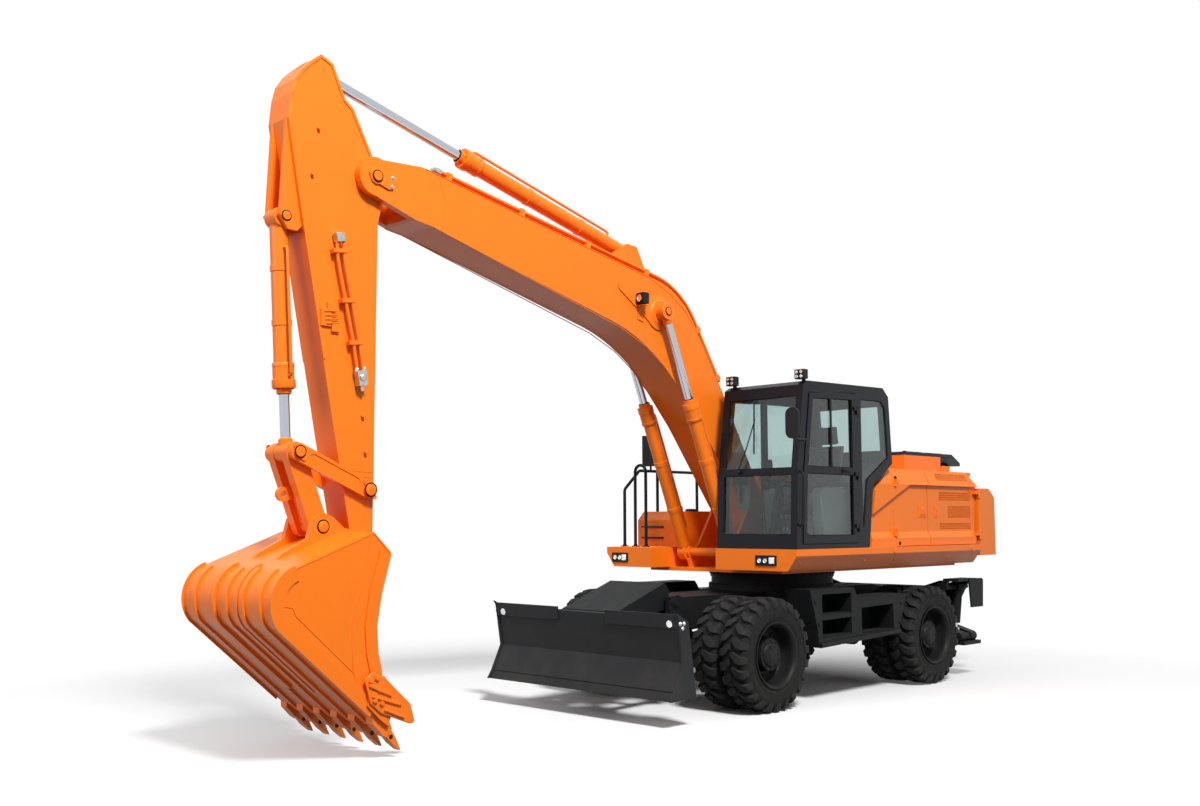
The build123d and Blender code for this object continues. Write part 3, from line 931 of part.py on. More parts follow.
with BuildPart() as bucket:
    # wrapper: top plate, round heel and floor, as one bent plate
    with BuildSketch(Plane.XZ.offset(-(WORK_Y + BUCKET_HALF))):
        with BuildLine():
            Polyline((5395, 1545), (5555, 1700), (6204, 1455))
            ThreePointArc((6204, 1455), (6375, 1310), FLOOR_END)
            Line(FLOOR_END, LIP)
            Line(LIP, on_floor(0, -SHELL))
            Line(on_floor(0, -SHELL), on_floor(FLOOR_RUN, -SHELL))
            ThreePointArc(on_floor(FLOOR_RUN, -SHELL), (6350, 1298), (6193, 1434))
            Polyline((6193, 1434), (5560, 1674), (5411, 1529), (5395, 1545))
        make_face()
    extrude(amount=2 * BUCKET_HALF)
    for side in (-1, 1):
        y0, y1 = sorted((WORK_Y + side * (BUCKET_HALF - SHELL), WORK_Y + side * BUCKET_HALF))
        with BuildSketch(Plane.XZ.offset(-y1)):
            with BuildLine():
                Polyline((6204, 1455), (5555, 1700), (5395, 1545), (5483, 1235), (5522, 1000), (5508, 800),
                         (5465, 620), LIP, FLOOR_END)
                ThreePointArc(FLOOR_END, (6375, 1310), (6204, 1455))
            make_face()
        extrude(amount=y1 - y0)
        # ears
        y0, y1 = sorted((WORK_Y + side * EAR_IN, WORK_Y + side * EAR_OUT))
        side_slab([(5245, 1640), (5275, 1520), (5395, 1500), (5555, 1660), (6155, 1440), (6055, 1540),
                   (5835, 1650), (5795, 1800), (5705, 1850), (5615, 1810), (5515, 1730), (5375, 1695)], y0, y1)
    pin_bar(BUCKET_PIN, 108, WORK_Y - EAR_IN, WORK_Y + EAR_IN, Mode.SUBTRACT)
    pin_bar(BUCKET_PIN, 45 + PIN_GAP, WORK_Y - 200, WORK_Y + 200, Mode.SUBTRACT)
    pin_bar(BUCKET_LINK_PIN, 45, WORK_Y - EAR_OUT, WORK_Y + EAR_OUT)
save(bucket.part, "bucket")

# Wear parts: adapters with their teeth, strips under the shell, side cutters and cheek plates.
TEETH = 6
TOOTH_PITCH = 2 * (BUCKET_HALF - 48) / (TEETH - 1)
INSIDE_HALF = BUCKET_HALF - SHELL - 2
STRIP = 16.0
with BuildPart() as wear_parts:
    for index in range(TEETH):
        y = WORK_Y + (index - (TEETH - 1) / 2) * TOOTH_PITCH
        # adapter round the lip, its upper leg clear of the side plates, and the tooth on its nose
        side_slab([on_floor(-SEAT_GAP, -60), on_floor(-SEAT_GAP, SEAT_GAP), on_floor(150, SEAT_GAP),
                   on_floor(120, 34), on_floor(0, 44), on_floor(-44, 38), on_floor(-44, -42)], y - 46, y + 46)
        side_slab([on_floor(-2, -SHELL - SEAT_GAP), on_floor(175, -SHELL - SEAT_GAP), on_floor(150, -52),
                   on_floor(-2, -60)], max(y - 40, WORK_Y - INSIDE_HALF), min(y + 40, WORK_Y + INSIDE_HALF))
        side_slab([on_floor(-42, -34), on_floor(-120, -12), on_floor(-212, 28), on_floor(-214, 36),
                   on_floor(-120, 40), on_floor(-42, 30)], y - 40, y + 40)
        # strips run between the teeth
        if index:
            y -= TOOTH_PITCH / 2
            shell_band(60, 60, SEAT_GAP, STRIP, y - 32, y + 32)
    for side in (-1, 1):
        shell_band(420, 72, SEAT_GAP, STRIP + 6, *sorted((WORK_Y + side * EAR_IN, WORK_Y + side * EAR_OUT)))
        # plates on the outside of each side: edge plate, cheek plate and side cutter
        face_y = BUCKET_HALF + SEAT_GAP
        shell_band(190, 70, -95, STRIP, *sorted((WORK_Y + side * face_y, WORK_Y + side * (face_y + 12))))
        side_slab([(5468, 640), (5508, 800), (5522, 1000), (5483, 1235), (5400, 1530), (5500, 1560),
                   (5590, 1260), (5628, 1000), (5612, 800), (5572, 640)],
                  *sorted((WORK_Y + side * face_y, WORK_Y + side * (face_y + 12))))
        side_slab([(5462, 625), (5378, 500), (5396, 340), (5420, 250), (5500, 310), (5610, 420), (5570, 625)],
                  *sorted((WORK_Y + side * face_y, WORK_Y + side * (face_y + 30))))
save(wear_parts.part, "bucket_wear_parts")
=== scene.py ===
# %% [markdown]
# # A wheeled excavator
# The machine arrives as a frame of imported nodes: every steel form with its real size, already
# in place and already hung on its joints. This lesson dresses that frame. It sets a camera and
# soft light, gives every node a procedural finish, and adds the small pieces that a modeller
# makes in mesh code: bolts, pipes, lamps, seams and grips. Each piece rides on a body,
# so it follows when the boom lifts or a wheel steers.

# %% Load the frame
import math

import bmesh
import bpy
from mathutils import Matrix, Vector


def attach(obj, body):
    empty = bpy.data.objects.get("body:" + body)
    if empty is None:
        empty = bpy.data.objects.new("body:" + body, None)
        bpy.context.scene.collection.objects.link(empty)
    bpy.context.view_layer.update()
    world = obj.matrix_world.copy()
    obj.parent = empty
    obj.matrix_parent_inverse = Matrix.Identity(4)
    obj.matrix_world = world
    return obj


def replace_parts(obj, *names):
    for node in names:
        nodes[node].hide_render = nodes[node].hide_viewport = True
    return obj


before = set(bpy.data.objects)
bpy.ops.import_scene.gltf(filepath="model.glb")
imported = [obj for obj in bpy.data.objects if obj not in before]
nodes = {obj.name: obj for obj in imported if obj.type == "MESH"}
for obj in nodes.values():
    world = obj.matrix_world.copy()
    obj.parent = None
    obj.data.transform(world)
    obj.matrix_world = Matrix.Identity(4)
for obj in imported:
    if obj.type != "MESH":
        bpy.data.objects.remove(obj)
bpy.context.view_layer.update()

# %% [markdown]
# ## The camera
# The view is from the front left, at standing height, looking slightly up, so the bucket is
# large and near while the tail is far away. A camera is a place, a direction and a lens. The
# direction is kept as three angles, and a rotation matrix is built from them, because that
# shows each angle's part: yaw turns round the upright, pitch tips the view up, roll levels it.

# %% Camera
CAMERA_PLACE = Vector((10.8503, 8.2324, 1.7613))
CAMERA_YAW, CAMERA_PITCH, CAMERA_ROLL = math.radians(225.12), math.radians(5.10), math.radians(-0.185)
CAMERA_LENS = 36.576      # millimetres on a 36 mm sensor
CAMERA_SHIFT_UP = 0.0092  # share of the frame's width


def camera_turn(yaw, pitch, roll):
    """The rotation of a camera that looks along yaw and pitch, then rolls about its view."""
    ahead = Vector((math.cos(yaw) * math.cos(pitch), math.sin(yaw) * math.cos(pitch), math.sin(pitch)))
    right = Vector((math.sin(yaw), -math.cos(yaw), 0))
    up = right.cross(ahead)
    turned_right = math.cos(roll) * right + math.sin(roll) * up
    turned_up = -math.sin(roll) * right + math.cos(roll) * up
    return Matrix((turned_right, turned_up, -ahead)).transposed()


camera_data = bpy.data.cameras.new("camera")
camera_data.lens, camera_data.sensor_width = CAMERA_LENS, 36
camera_data.shift_y = CAMERA_SHIFT_UP
camera_data.clip_start, camera_data.clip_end = 0.1, 200
camera = bpy.data.objects.new("camera", camera_data)
bpy.context.scene.collection.objects.link(camera)
camera.matrix_world = (Matrix.Translation(CAMERA_PLACE)
                       @ camera_turn(CAMERA_YAW, CAMERA_PITCH, CAMERA_ROLL).to_4x4())
bpy.context.scene.camera = camera
bpy.context.scene.view_settings.view_transform = "Standard"
print("camera", [round(v, 2) for v in camera.location])

# %% [markdown]
# ## Floor and light
# A product shot has a pale floor that runs out of sight and light that comes from all round,
# with one broad lamp that is stronger than the rest so that forms have a lit and a shaded
# side. The world gives the soft part. Camera, glossy and transmission rays see it as plain
# white, while other rays get a lower strength, so the backdrop stays white without putting
# more light on the paint.

# %% Floor, world and lamps
FLOOR_HALF = 60.0
WORLD_LIGHT = 0.37


def link(piece):
    """Adds a new object to the scene."""
    bpy.context.scene.collection.objects.link(piece)
    return piece


def sum_up(tree, kind, first, second):
    """A Math node over two values, each a socket or a number."""
    node = tree.nodes.new("ShaderNodeMath")
    node.operation = kind
    for socket, value in zip(node.inputs, (first, second)):
        if isinstance(value, (int, float)):
            socket.default_value = value
        else:
            tree.links.new(value, socket)
    return node.outputs[0]


def seen_directly(tree):
    """1 for camera, glossy and transmission rays, and 0 for rays that carry light to a surface."""
    rays = tree.nodes.new("ShaderNodeLightPath")
    mirrored = sum_up(tree, "MAXIMUM", rays.outputs["Is Camera Ray"], rays.outputs["Is Glossy Ray"])
    return sum_up(tree, "MAXIMUM", mirrored, rays.outputs["Is Transmission Ray"])


def choose_shader(tree, share, first, second):
    """Mixes two shaders by a share from 0 to 1."""
    node = tree.nodes.new("ShaderNodeMixShader")
    for socket, source in zip(node.inputs, (share, first.outputs[0], second.outputs[0])):
        tree.links.new(source, socket)
    return node


floor_mesh = bpy.data.meshes.new("floor")
floor_mesh.from_pydata([(-FLOOR_HALF, -FLOOR_HALF, 0), (FLOOR_HALF, -FLOOR_HALF, 0),
                        (FLOOR_HALF, FLOOR_HALF, 0), (-FLOOR_HALF, FLOOR_HALF, 0)], [], [(0, 1, 2, 3)])
floor = link(bpy.data.objects.new("floor", floor_mesh))

world = bpy.data.worlds.new("studio")
bpy.context.scene.world = world
world.use_nodes = True
sky = world.node_tree
sky.nodes.clear()
world_out = sky.nodes.new("ShaderNodeOutputWorld")
world_lit, world_seen = (sky.nodes.new("ShaderNodeBackground") for _ in range(2))
world_lit.inputs["Color"].default_value = (0.97, 0.985, 1.0, 1)
world_lit.inputs["Strength"].default_value = WORLD_LIGHT
world_seen.inputs["Color"].default_value = (1, 1, 1, 1)
world_seen.inputs["Strength"].default_value = 1.0
sky.links.new(choose_shader(sky, seen_directly(sky), world_lit, world_seen).outputs[0], world_out.inputs[0])


def area_lamp(name, place, target, size, watts):
    """A square soft box at a place, turned to face its target."""
    data = bpy.data.lights.new(name, "AREA")
    data.shape, data.size, data.energy = "SQUARE", size, watts
    lamp = link(bpy.data.objects.new(name, data))
    lamp.location = place
    lamp.rotation_euler = (Vector(target) - Vector(place)).to_track_quat("-Z", "Y").to_euler()
    return lamp


area_lamp("key_lamp", (8.0, 11.5, 15.0), (2.5, 0, 2.0), 3.2, 4000)
area_lamp("front_lamp", (17.0, -2.0, 8.0), (3.0, 0, 2.0), 7.0, 700)

# %% [markdown]
# ## Node groups for finishes
# Paint, rubber and steel share a few effects: a slow drift of tone, fine grain, dust that lies
# thicker near the ground, and bright streaks that are partly scuffs on what digs and partly
# painted sheen. Each effect is a node group, built once and placed in each material with its own
# numbers. A group gives only masks, colours and heights.
# The shader itself stays in the material, so that its gloss can be read there.

# %% Helpers for node groups
def new_group(name, inputs, outputs):
    """A shader group with (name, default) inputs and (name, kind) outputs."""
    tree = bpy.data.node_groups.new(name, "ShaderNodeTree")
    for label, default in inputs:
        kind = "NodeSocketColor" if isinstance(default, tuple) else "NodeSocketFloat"
        tree.interface.new_socket(name=label, in_out="INPUT", socket_type=kind).default_value = default
    for label, kind in outputs:
        tree.interface.new_socket(name=label, in_out="OUTPUT", socket_type=kind)
    return tree, tree.nodes.new("NodeGroupInput"), tree.nodes.new("NodeGroupOutput")


def noise(tree, scale, detail=3.0, stretch=(1, 1, 1), source=None):
    """A noise texture over object coordinates, drawn out along an axis if stretch says so."""
    place = tree.nodes.new("ShaderNodeTexCoord")
    spread = tree.nodes.new("ShaderNodeMapping")
    spread.inputs["Scale"].default_value = stretch
    grain = tree.nodes.new("ShaderNodeTexNoise")
    grain.inputs["Detail"].default_value = detail
    tree.links.new(place.outputs["Object"], spread.inputs["Vector"])
    tree.links.new(spread.outputs["Vector"], grain.inputs["Vector"])
    if source is None:
        grain.inputs["Scale"].default_value = scale
    else:
        tree.links.new(source, grain.inputs["Scale"])
    return grain.outputs["Fac"]


def ramp(tree, value, low, high, out_low=0.0, out_high=1.0):
    """Maps a value from one span to another, held at the ends."""
    node = tree.nodes.new("ShaderNodeMapRange")
    for label, number in (("From Min", low), ("From Max", high), ("To Min", out_low), ("To Max", out_high)):
        if isinstance(number, (int, float)):
            node.inputs[label].default_value = number
        else:
            tree.links.new(number, node.inputs[label])
    tree.links.new(value, node.inputs["Value"])
    return node.outputs["Result"]


def blend_colours(tree, share, first, second):
    """Mixes two colours, each a socket or a plain colour, by a share from 0 to 1."""
    node = tree.nodes.new("ShaderNodeMix")
    node.data_type = "RGBA"
    tree.links.new(share, node.inputs["Factor"])
    for index, value in ((6, first), (7, second)):
        if isinstance(value, tuple):
            node.inputs[index].default_value = value
        else:
            tree.links.new(value, node.inputs[index])
    return node.outputs[2]


# %% [markdown]
# Paint on steel is never one flat colour. Seen close, sprayed enamel has a faint orange-peel
# ripple, and over a metre or two its tone drifts a little. This group takes the paint's colour
# and gives back that drift and the ripple's height.

# %% Paint drift group
def paint_drift_group():
    tree, start, end = new_group("paint_drift",
                                 [("Colour", (0.8, 0.8, 0.8, 1)), ("Drift", 0.06), ("Gloss", 0.3)],
                                 [("Colour", "NodeSocketColor"), ("Roughness", "NodeSocketFloat"),
                                  ("Height", "NodeSocketFloat")])
    slow = noise(tree, 1.1, 2.0)
    fine = noise(tree, 9.0, 4.0)
    mixed = sum_up(tree, "ADD", sum_up(tree, "MULTIPLY", slow, 0.7), sum_up(tree, "MULTIPLY", fine, 0.3))
    swing = sum_up(tree, "MULTIPLY", sum_up(tree, "SUBTRACT", mixed, 0.5), start.outputs["Drift"])
    bright = tree.nodes.new("ShaderNodeHueSaturation")
    tree.links.new(sum_up(tree, "ADD", sum_up(tree, "MULTIPLY", swing, 2.4), 1.0), bright.inputs["Value"])
    tree.links.new(start.outputs["Colour"], bright.inputs["Color"])
    tree.links.new(bright.outputs["Color"], end.inputs["Colour"])
    rough = sum_up(tree, "ADD", start.outputs["Gloss"],
                   sum_up(tree, "MULTIPLY", sum_up(tree, "SUBTRACT", fine, 0.5), 0.12))
    tree.links.new(rough, end.inputs["Roughness"])
    tree.links.new(noise(tree, 260.0, 2.0), end.inputs["Height"])
    return tree


# %% [markdown]
# Dust settles where wheels throw it: thick near the ground and gone by waist height or so. The
# group reads the height above the ground and breaks the edge of the dust with noise.

# %% Ground dust group
def ground_dust_group():
    tree, start, end = new_group("ground_dust", [("Low", 0.0), ("High", 1.0), ("Amount", 0.5)],
                                 [("Mask", "NodeSocketFloat")])
    place = tree.nodes.new("ShaderNodeTexCoord")
    apart = tree.nodes.new("ShaderNodeSeparateXYZ")
    tree.links.new(place.outputs["Object"], apart.inputs[0])
    falling = ramp(tree, apart.outputs["Z"], start.outputs["Low"], start.outputs["High"], 1.0, 0.0)
    broken = ramp(tree, noise(tree, 5.0, 6.0), 0.35, 0.7)
    mask = sum_up(tree, "MULTIPLY", sum_up(tree, "MULTIPLY", falling, broken), start.outputs["Amount"])
    tree.links.new(mask, end.inputs["Mask"])
    return tree


# %% [markdown]
# Steel that digs or pushes is rubbed bright in streaks, and on the blade these bright streaks
# also stand in for painted sheen on its upward-facing lower plate. Noise drawn out along one axis
# makes streaks, and a narrow ramp keeps only its peaks.

# %% Scuff and painted sheen group
def scuff_and_sheen_group():
    tree, start, end = new_group("scuffs_and_sheen", [("Scale", 6.0), ("Cover", 0.3)], [("Mask", "NodeSocketFloat")])
    streaks = noise(tree, 6.0, 5.0, (1.0, 6.0, 1.0), start.outputs["Scale"])
    floor_level = sum_up(tree, "SUBTRACT", 0.85, sum_up(tree, "MULTIPLY", start.outputs["Cover"], 0.5))
    tree.links.new(ramp(tree, streaks, floor_level, 0.9), end.inputs["Mask"])
    return tree


PAINT_DRIFT, GROUND_DUST, SCUFFS_AND_SHEEN = paint_drift_group(), ground_dust_group(), scuff_and_sheen_group()
print("groups", [g.name for g in bpy.data.node_groups])

# %% [markdown]
# ## Finishes
# A finish function makes one material from the groups above. Paint is a Principled shader with
# a clear coat. Constant values are set on the shader's own sockets, and only what changes over
# the surface is linked.

# %% Helpers for materials
def new_finish(name, metallic=0.0, coat=0.0, rough=0.4):
    """A material with a Principled shader, its node tree and that shader."""
    finish = bpy.data.materials.new(name)
    finish.use_nodes = True
    tree = finish.node_tree
    shader = tree.nodes["Principled BSDF"]
    shader.inputs["Metallic"].default_value = metallic
    shader.inputs["Coat Weight"].default_value = coat
    shader.inputs["Roughness"].default_value = rough
    return finish, tree, shader


def place_group(tree, group, **values):
    """Puts a group in a material. A value's name stands for the input, with _ for a space."""
    node = tree.nodes.new("ShaderNodeGroup")
    node.node_tree = group
    for label, value in values.items():
        node.inputs[label.replace("_", " ")].default_value = value
    return node


def bump(tree, shader, height, strength, distance):
    """Feeds a height through a Bump node into a shader's normal."""
    node = tree.nodes.new("ShaderNodeBump")
    node.inputs["Strength"].default_value = strength
    node.inputs["Distance"].default_value = distance
    tree.links.new(height, node.inputs["Height"])
    tree.links.new(node.outputs["Normal"], shader.inputs["Normal"])


DUST_COLOUR = (0.23, 0.19, 0.145, 1)
# The bright tone of the streaks: partly rubbed bare steel, partly painted sheen.
BARE_STEEL_SHEEN = (0.42, 0.41, 0.40, 1)


def sprayed(name, colour, gloss, drift=0.06, coat=0.35, dust=None, scuff_sheen=None, shine=0.3):
    """Sprayed enamel. dust is (low, high, amount); the bright streaks, partly scuffs and partly painted
    sheen, take (scale, cover).
    """
    finish, tree, shader = new_finish(name, coat=coat)
    shader.inputs["Coat Roughness"].default_value = 0.12
    shader.inputs["Specular IOR Level"].default_value = shine
    skin = place_group(tree, PAINT_DRIFT, Colour=colour, Drift=drift, Gloss=gloss)
    tone = skin.outputs["Colour"]
    # Bright streaks, partly scuffs and partly painted sheen.
    if scuff_sheen:
        streak_sheen_node = place_group(tree, SCUFFS_AND_SHEEN, Scale=scuff_sheen[0], Cover=scuff_sheen[1])
        tone = blend_colours(tree, streak_sheen_node.outputs["Mask"], tone, BARE_STEEL_SHEEN)
    if dust:
        lying = place_group(tree, GROUND_DUST, Low=dust[0], High=dust[1], Amount=dust[2])
        tone = blend_colours(tree, lying.outputs["Mask"], tone, DUST_COLOUR)
    tree.links.new(tone, shader.inputs["Base Color"])
    tree.links.new(skin.outputs["Roughness"], shader.inputs["Roughness"])
    bump(tree, shader, skin.outputs["Height"], 0.08, 0.0006)
    return finish


# %% [markdown]
# The machine wears two paints, a bright orange and a dark grey, and the cab a blue-black. The
# undercarriage gets a little dust. The blade is lighter towards its foot from dust and has bright
# streaks over its plates; both stand partly for dust and wear and partly for painted sheen on its
# upward-facing lower plate.

# %% Paints
ORANGE = sprayed("orange_enamel", (0.94, 0.195, 0.007, 1), 0.40, drift=0.05, coat=0.06)
GREY = sprayed("dark_grey_enamel", (0.009, 0.010, 0.011, 1), 0.55, coat=0.0, dust=(0.0, 1.3, 0.06),
               shine=0.12)
BLUE_BLACK = sprayed("cab_enamel", (0.004, 0.005, 0.009, 1), 0.32, coat=0.0, shine=0.2)
# The blade's dust band and bright streaks lighten its lower plate: partly dust and wear, partly painted
# sheen.
BLADE_GREY = sprayed("blade_enamel", (0.020, 0.021, 0.023, 1), 0.55, coat=0.0, dust=(0.1, 0.9, 0.10),
                     scuff_sheen=(4.0, 0.12), shine=0.15)
RIM_GREY = sprayed("rim_enamel", (0.008, 0.008, 0.009, 1), 0.5, coat=0.0, dust=(0.0, 1.2, 0.06), shine=0.15)
CAST_GREY = sprayed("casting_enamel", (0.014, 0.014, 0.015, 1), 0.6, coat=0.0, dust=(0.0, 1.3, 0.10),
                    shine=0.15)


# %% [markdown]
# Tyre rubber is matt and nearly black, with dust in its pores. Chrome on the rods is smooth
# enough to mirror the studio. Glass is thin and tinted, with plain transmission. Plastics are
# moulded, so they have a fine leather-like grain.

# %% Rubber, chrome, glass and plastics
def rubber(name, colour, dust):
    finish, tree, shader = new_finish(name, rough=0.75)
    shader.inputs["Specular IOR Level"].default_value = 0.15
    lying = place_group(tree, GROUND_DUST, Low=dust[0], High=dust[1], Amount=dust[2])
    tone = blend_colours(tree, lying.outputs["Mask"], colour, DUST_COLOUR)
    tree.links.new(tone, shader.inputs["Base Color"])
    tree.links.new(ramp(tree, noise(tree, 30.0, 4.0), 0.3, 0.7, 0.62, 0.86), shader.inputs["Roughness"])
    bump(tree, shader, noise(tree, 140.0, 3.0), 0.25, 0.002)
    return finish


def bare_metal(name, colour, rough, streak):
    finish, tree, shader = new_finish(name, metallic=1.0)
    shader.inputs["Base Color"].default_value = colour
    lines = noise(tree, 40.0, 3.0, streak)
    tree.links.new(ramp(tree, lines, 0.3, 0.7, rough * 0.7, rough * 1.5), shader.inputs["Roughness"])
    bump(tree, shader, lines, 0.06, 0.0005)
    return finish


def moulded(name, colour, rough, grain):
    finish, tree, shader = new_finish(name)
    shader.inputs["Specular IOR Level"].default_value = 0.2
    skin = place_group(tree, PAINT_DRIFT, Colour=colour, Drift=0.08, Gloss=rough)
    tree.links.new(skin.outputs["Colour"], shader.inputs["Base Color"])
    tree.links.new(skin.outputs["Roughness"], shader.inputs["Roughness"])
    bump(tree, shader, noise(tree, grain, 4.0), 0.2, 0.001)
    return finish


def pane(name, colour, rough):
    finish, tree, shader = new_finish(name, rough=rough)
    shader.inputs["Transmission Weight"].default_value = 1.0
    shader.inputs["IOR"].default_value = 1.45
    haze = ramp(tree, noise(tree, 2.5, 4.0), 0.35, 0.75)
    tree.links.new(blend_colours(tree, haze, colour, tuple(c * 0.93 for c in colour[:3]) + (1,)),
                   shader.inputs["Base Color"])
    return finish


RUBBER = rubber("tyre_rubber", (0.012, 0.012, 0.012, 1), (0.0, 1.1, 0.04))
TREAD_RUBBER = rubber("tread_rubber", (0.022, 0.022, 0.023, 1), (0.0, 1.1, 0.08))
CHROME = bare_metal("rod_chrome", (0.50, 0.52, 0.57, 1), 0.14, (1, 1, 1))
ZINC = bare_metal("zinc_plate", (0.48, 0.49, 0.48, 1), 0.32, (1, 1, 1))
GROUND_STEEL = bare_metal("ground_steel", (0.45, 0.45, 0.45, 1), 0.38, (1, 8, 1))
TINTED_GLASS = pane("tinted_glass", (0.62, 0.74, 0.73, 1), 0.02)
LENS = pane("lamp_lens", (0.95, 0.96, 0.97, 1), 0.06)
TRIM_GREY = moulded("cab_trim", (0.16, 0.175, 0.17, 1), 0.6, 220.0)
BLACK_PLASTIC = moulded("black_plastic", (0.008, 0.008, 0.009, 1), 0.5, 260.0)
SEAT_CLOTH = moulded("seat_cloth", (0.03, 0.031, 0.034, 1), 0.85, 500.0)
print("finishes", len(bpy.data.materials))

# %% [markdown]
# The floor is a plain pale sheet. Near the machine it is a matt surface that takes the soft
# shadow, and further out it turns into a plain white glow, so that no horizon shows. Light that
# bounces off it on to the machine is kept low: rays from the paint see a darker floor than the
# camera does, and the undersides stay dark as they would over tarmac.

# %% Floor finish
FLOOR_WHITE, floor_tree, floor_shader = new_finish("floor_white", rough=0.9)
floor_shader.inputs["Specular IOR Level"].default_value = 0.0
floor_tone = blend_colours(floor_tree, noise(floor_tree, 0.8, 3.0), (0.90, 0.90, 0.90, 1),
                           (0.92, 0.92, 0.92, 1))
floor_tree.links.new(floor_tone, floor_shader.inputs["Base Color"])
floor_place = floor_tree.nodes.new("ShaderNodeTexCoord")
floor_reach = floor_tree.nodes.new("ShaderNodeVectorMath")
floor_reach.operation = "DISTANCE"
floor_reach.inputs[1].default_value = (1.5, 0.0, 0.0)
floor_tree.links.new(floor_place.outputs["Object"], floor_reach.inputs[0])
floor_glow = floor_tree.nodes.new("ShaderNodeEmission")
floor_dim = floor_tree.nodes.new("ShaderNodeBsdfDiffuse")
floor_dim.inputs["Color"].default_value = (0.09, 0.09, 0.09, 1)
floor_fade = choose_shader(floor_tree, ramp(floor_tree, floor_reach.outputs["Value"], 2.5, 7.5),
                           floor_shader, floor_glow)
floor_choice = choose_shader(floor_tree, seen_directly(floor_tree), floor_dim, floor_fade)
floor_tree.links.new(floor_choice.outputs[0], floor_tree.nodes["Material Output"].inputs["Surface"])
floor.data.materials.append(FLOOR_WHITE)
print("floor finish", len(floor_tree.nodes), "nodes")

# %% [markdown]
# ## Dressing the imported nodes
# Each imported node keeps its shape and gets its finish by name. The table says which finish a
# group of nodes wears. Round forms arrive as many flat faces, so faces that meet at a small
# angle are shaded as one smooth surface.

# %% Node finishes
NODE_FINISHES = (
    (ORANGE, ("boom", "boom_fittings", "arm", "bucket", "bucket_wear_parts", "guide_links", "bucket_link",
              "boom_cylinder_barrels", "arm_cylinder_barrel", "bucket_cylinder_barrel", "cowl",
              "engine_door_front", "engine_door_rear", "pump_door", "counterweight", "tanks", "deck")),
    (GREY, ("chassis", "side_steps", "stabiliser_frame", "stabiliser_leg_left", "stabiliser_leg_right",
            "stabiliser_barrel_left", "stabiliser_barrel_right", "blade_arms", "blade_cover",
            "blade_cylinder_barrels")),
    (BLADE_GREY, ("blade",)),
    (BLUE_BLACK, ("cab_shell", "cab_door", "handrails", "hood_lid")),
    (CHROME, ("boom_cylinder_rods", "arm_cylinder_rod", "bucket_cylinder_rod", "blade_cylinder_rods",
              "stabiliser_rod_left", "stabiliser_rod_right")),
    (CAST_GREY, ("front_axle", "rear_axle", "driveline", "engine", "knuckle_left", "knuckle_right")),
    (GROUND_STEEL, ("tie_rod",)),
    (TINTED_GLASS, ("cab_glass", "cab_door_glass")),
    (TRIM_GREY, ("cab_interior",)),
    (BLACK_PLASTIC, ("mirrors", "lamps")),
)
SMOOTH_ANGLE = math.radians(32)


def dress(node_name, finish):
    """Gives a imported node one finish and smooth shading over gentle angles."""
    mesh = nodes[node_name].data
    mesh.materials.clear()
    mesh.materials.append(finish)
    mesh.shade_smooth()
    mesh.set_sharp_from_angle(angle=SMOOTH_ANGLE)


for finish, names in NODE_FINISHES:
    for node_name in names:
        dress(node_name, finish)
for node_name in nodes:
    if node_name.startswith("tyres_"):
        dress(node_name, RUBBER)
    elif node_name.startswith("rims_"):
        dress(node_name, RIM_GREY)
undressed = [n for n, o in nodes.items() if not o.data.materials]
print("undressed nodes", undressed)

# %% [markdown]
# ## Tools for small pieces
# Nearly all that is added now is turned, cut from plate, or bent from tube. A few short helpers
# draw those forms into a bmesh, which is Blender's editable mesh: a lathe spins a profile, a plate
# gives an outline its thickness, and a tube follows points as a curve. Measurements are metres,
# with X ahead, Y to the left and Z up, so a place can be read off the machine itself.

# %% Placing and turning
def stand(place, axis=(0, 0, 1), spin=0.0):
    """A placement whose own Z points along an axis."""
    turn = Vector(axis).to_track_quat("Z", "Y").to_matrix().to_4x4()
    return Matrix.Translation(place) @ turn @ Matrix.Rotation(spin, 4, "Z")


def lathe(work, at, profile, sides=28):
    """Spins (radius, height) points round a placement's Z. A zero radius closes the form."""
    rings = []
    for radius, height in profile:
        count = sides if radius > 1e-6 else 1
        rings.append([work.verts.new(at @ Vector((radius * math.cos(math.tau * i / sides),
                                                  radius * math.sin(math.tau * i / sides), height)))
                      for i in range(count)])
    for low, high in zip(rings, rings[1:]):
        for i in range(sides):
            j = (i + 1) % sides
            corners = [low[i % len(low)], low[j % len(low)], high[j % len(high)], high[i % len(high)]]
            corners = list(dict.fromkeys(corners))
            if len(corners) > 2:
                work.faces.new(corners)


def join_loops(work, near, far):
    """Joins two loops of corners with a band of faces."""
    for i in range(len(near)):
        j = (i + 1) % len(near)
        work.faces.new((near[i], near[j], far[j], far[i]))


def circle(count, radius, start=0.0):
    """Offsets of count places round a circle. start is in steps from the first axis."""
    for index in range(count):
        turn = math.tau * (index + start) / count
        yield radius * math.cos(turn), radius * math.sin(turn)


def plate(work, outline, y0, y1):
    """A plate with an outline of x, z points, standing across the machine from y0 to y1."""
    near = [work.verts.new((x, y0, z)) for x, z in outline]
    far = [work.verts.new((x, y1, z)) for x, z in outline]
    work.faces.new(near)
    work.faces.new(far[::-1])
    join_loops(work, near, far)


def side_plate(work, outline, side, near, far, middle=0.0):
    """A plate on one side of a middle plane, reaching from near to far out."""
    plate(work, outline, *sorted((middle + side * near, middle + side * far)))


def brick(work, low, high):
    """A square block between two corners."""
    plate(work, [(low[0], low[2]), (high[0], low[2]), (high[0], high[2]), (low[0], high[2])],
          low[1], high[1])


def rod(work, start, end, radius, sides=16):
    """A round rod from one point to another, with turned ends."""
    run = Vector(end) - Vector(start)
    edge = min(radius * 0.2, 0.004)
    lathe(work, stand(start, run), ((0, 0), (radius - edge, 0), (radius, edge), (radius, run.length - edge),
                                    (radius - edge, run.length), (0, run.length)), sides)


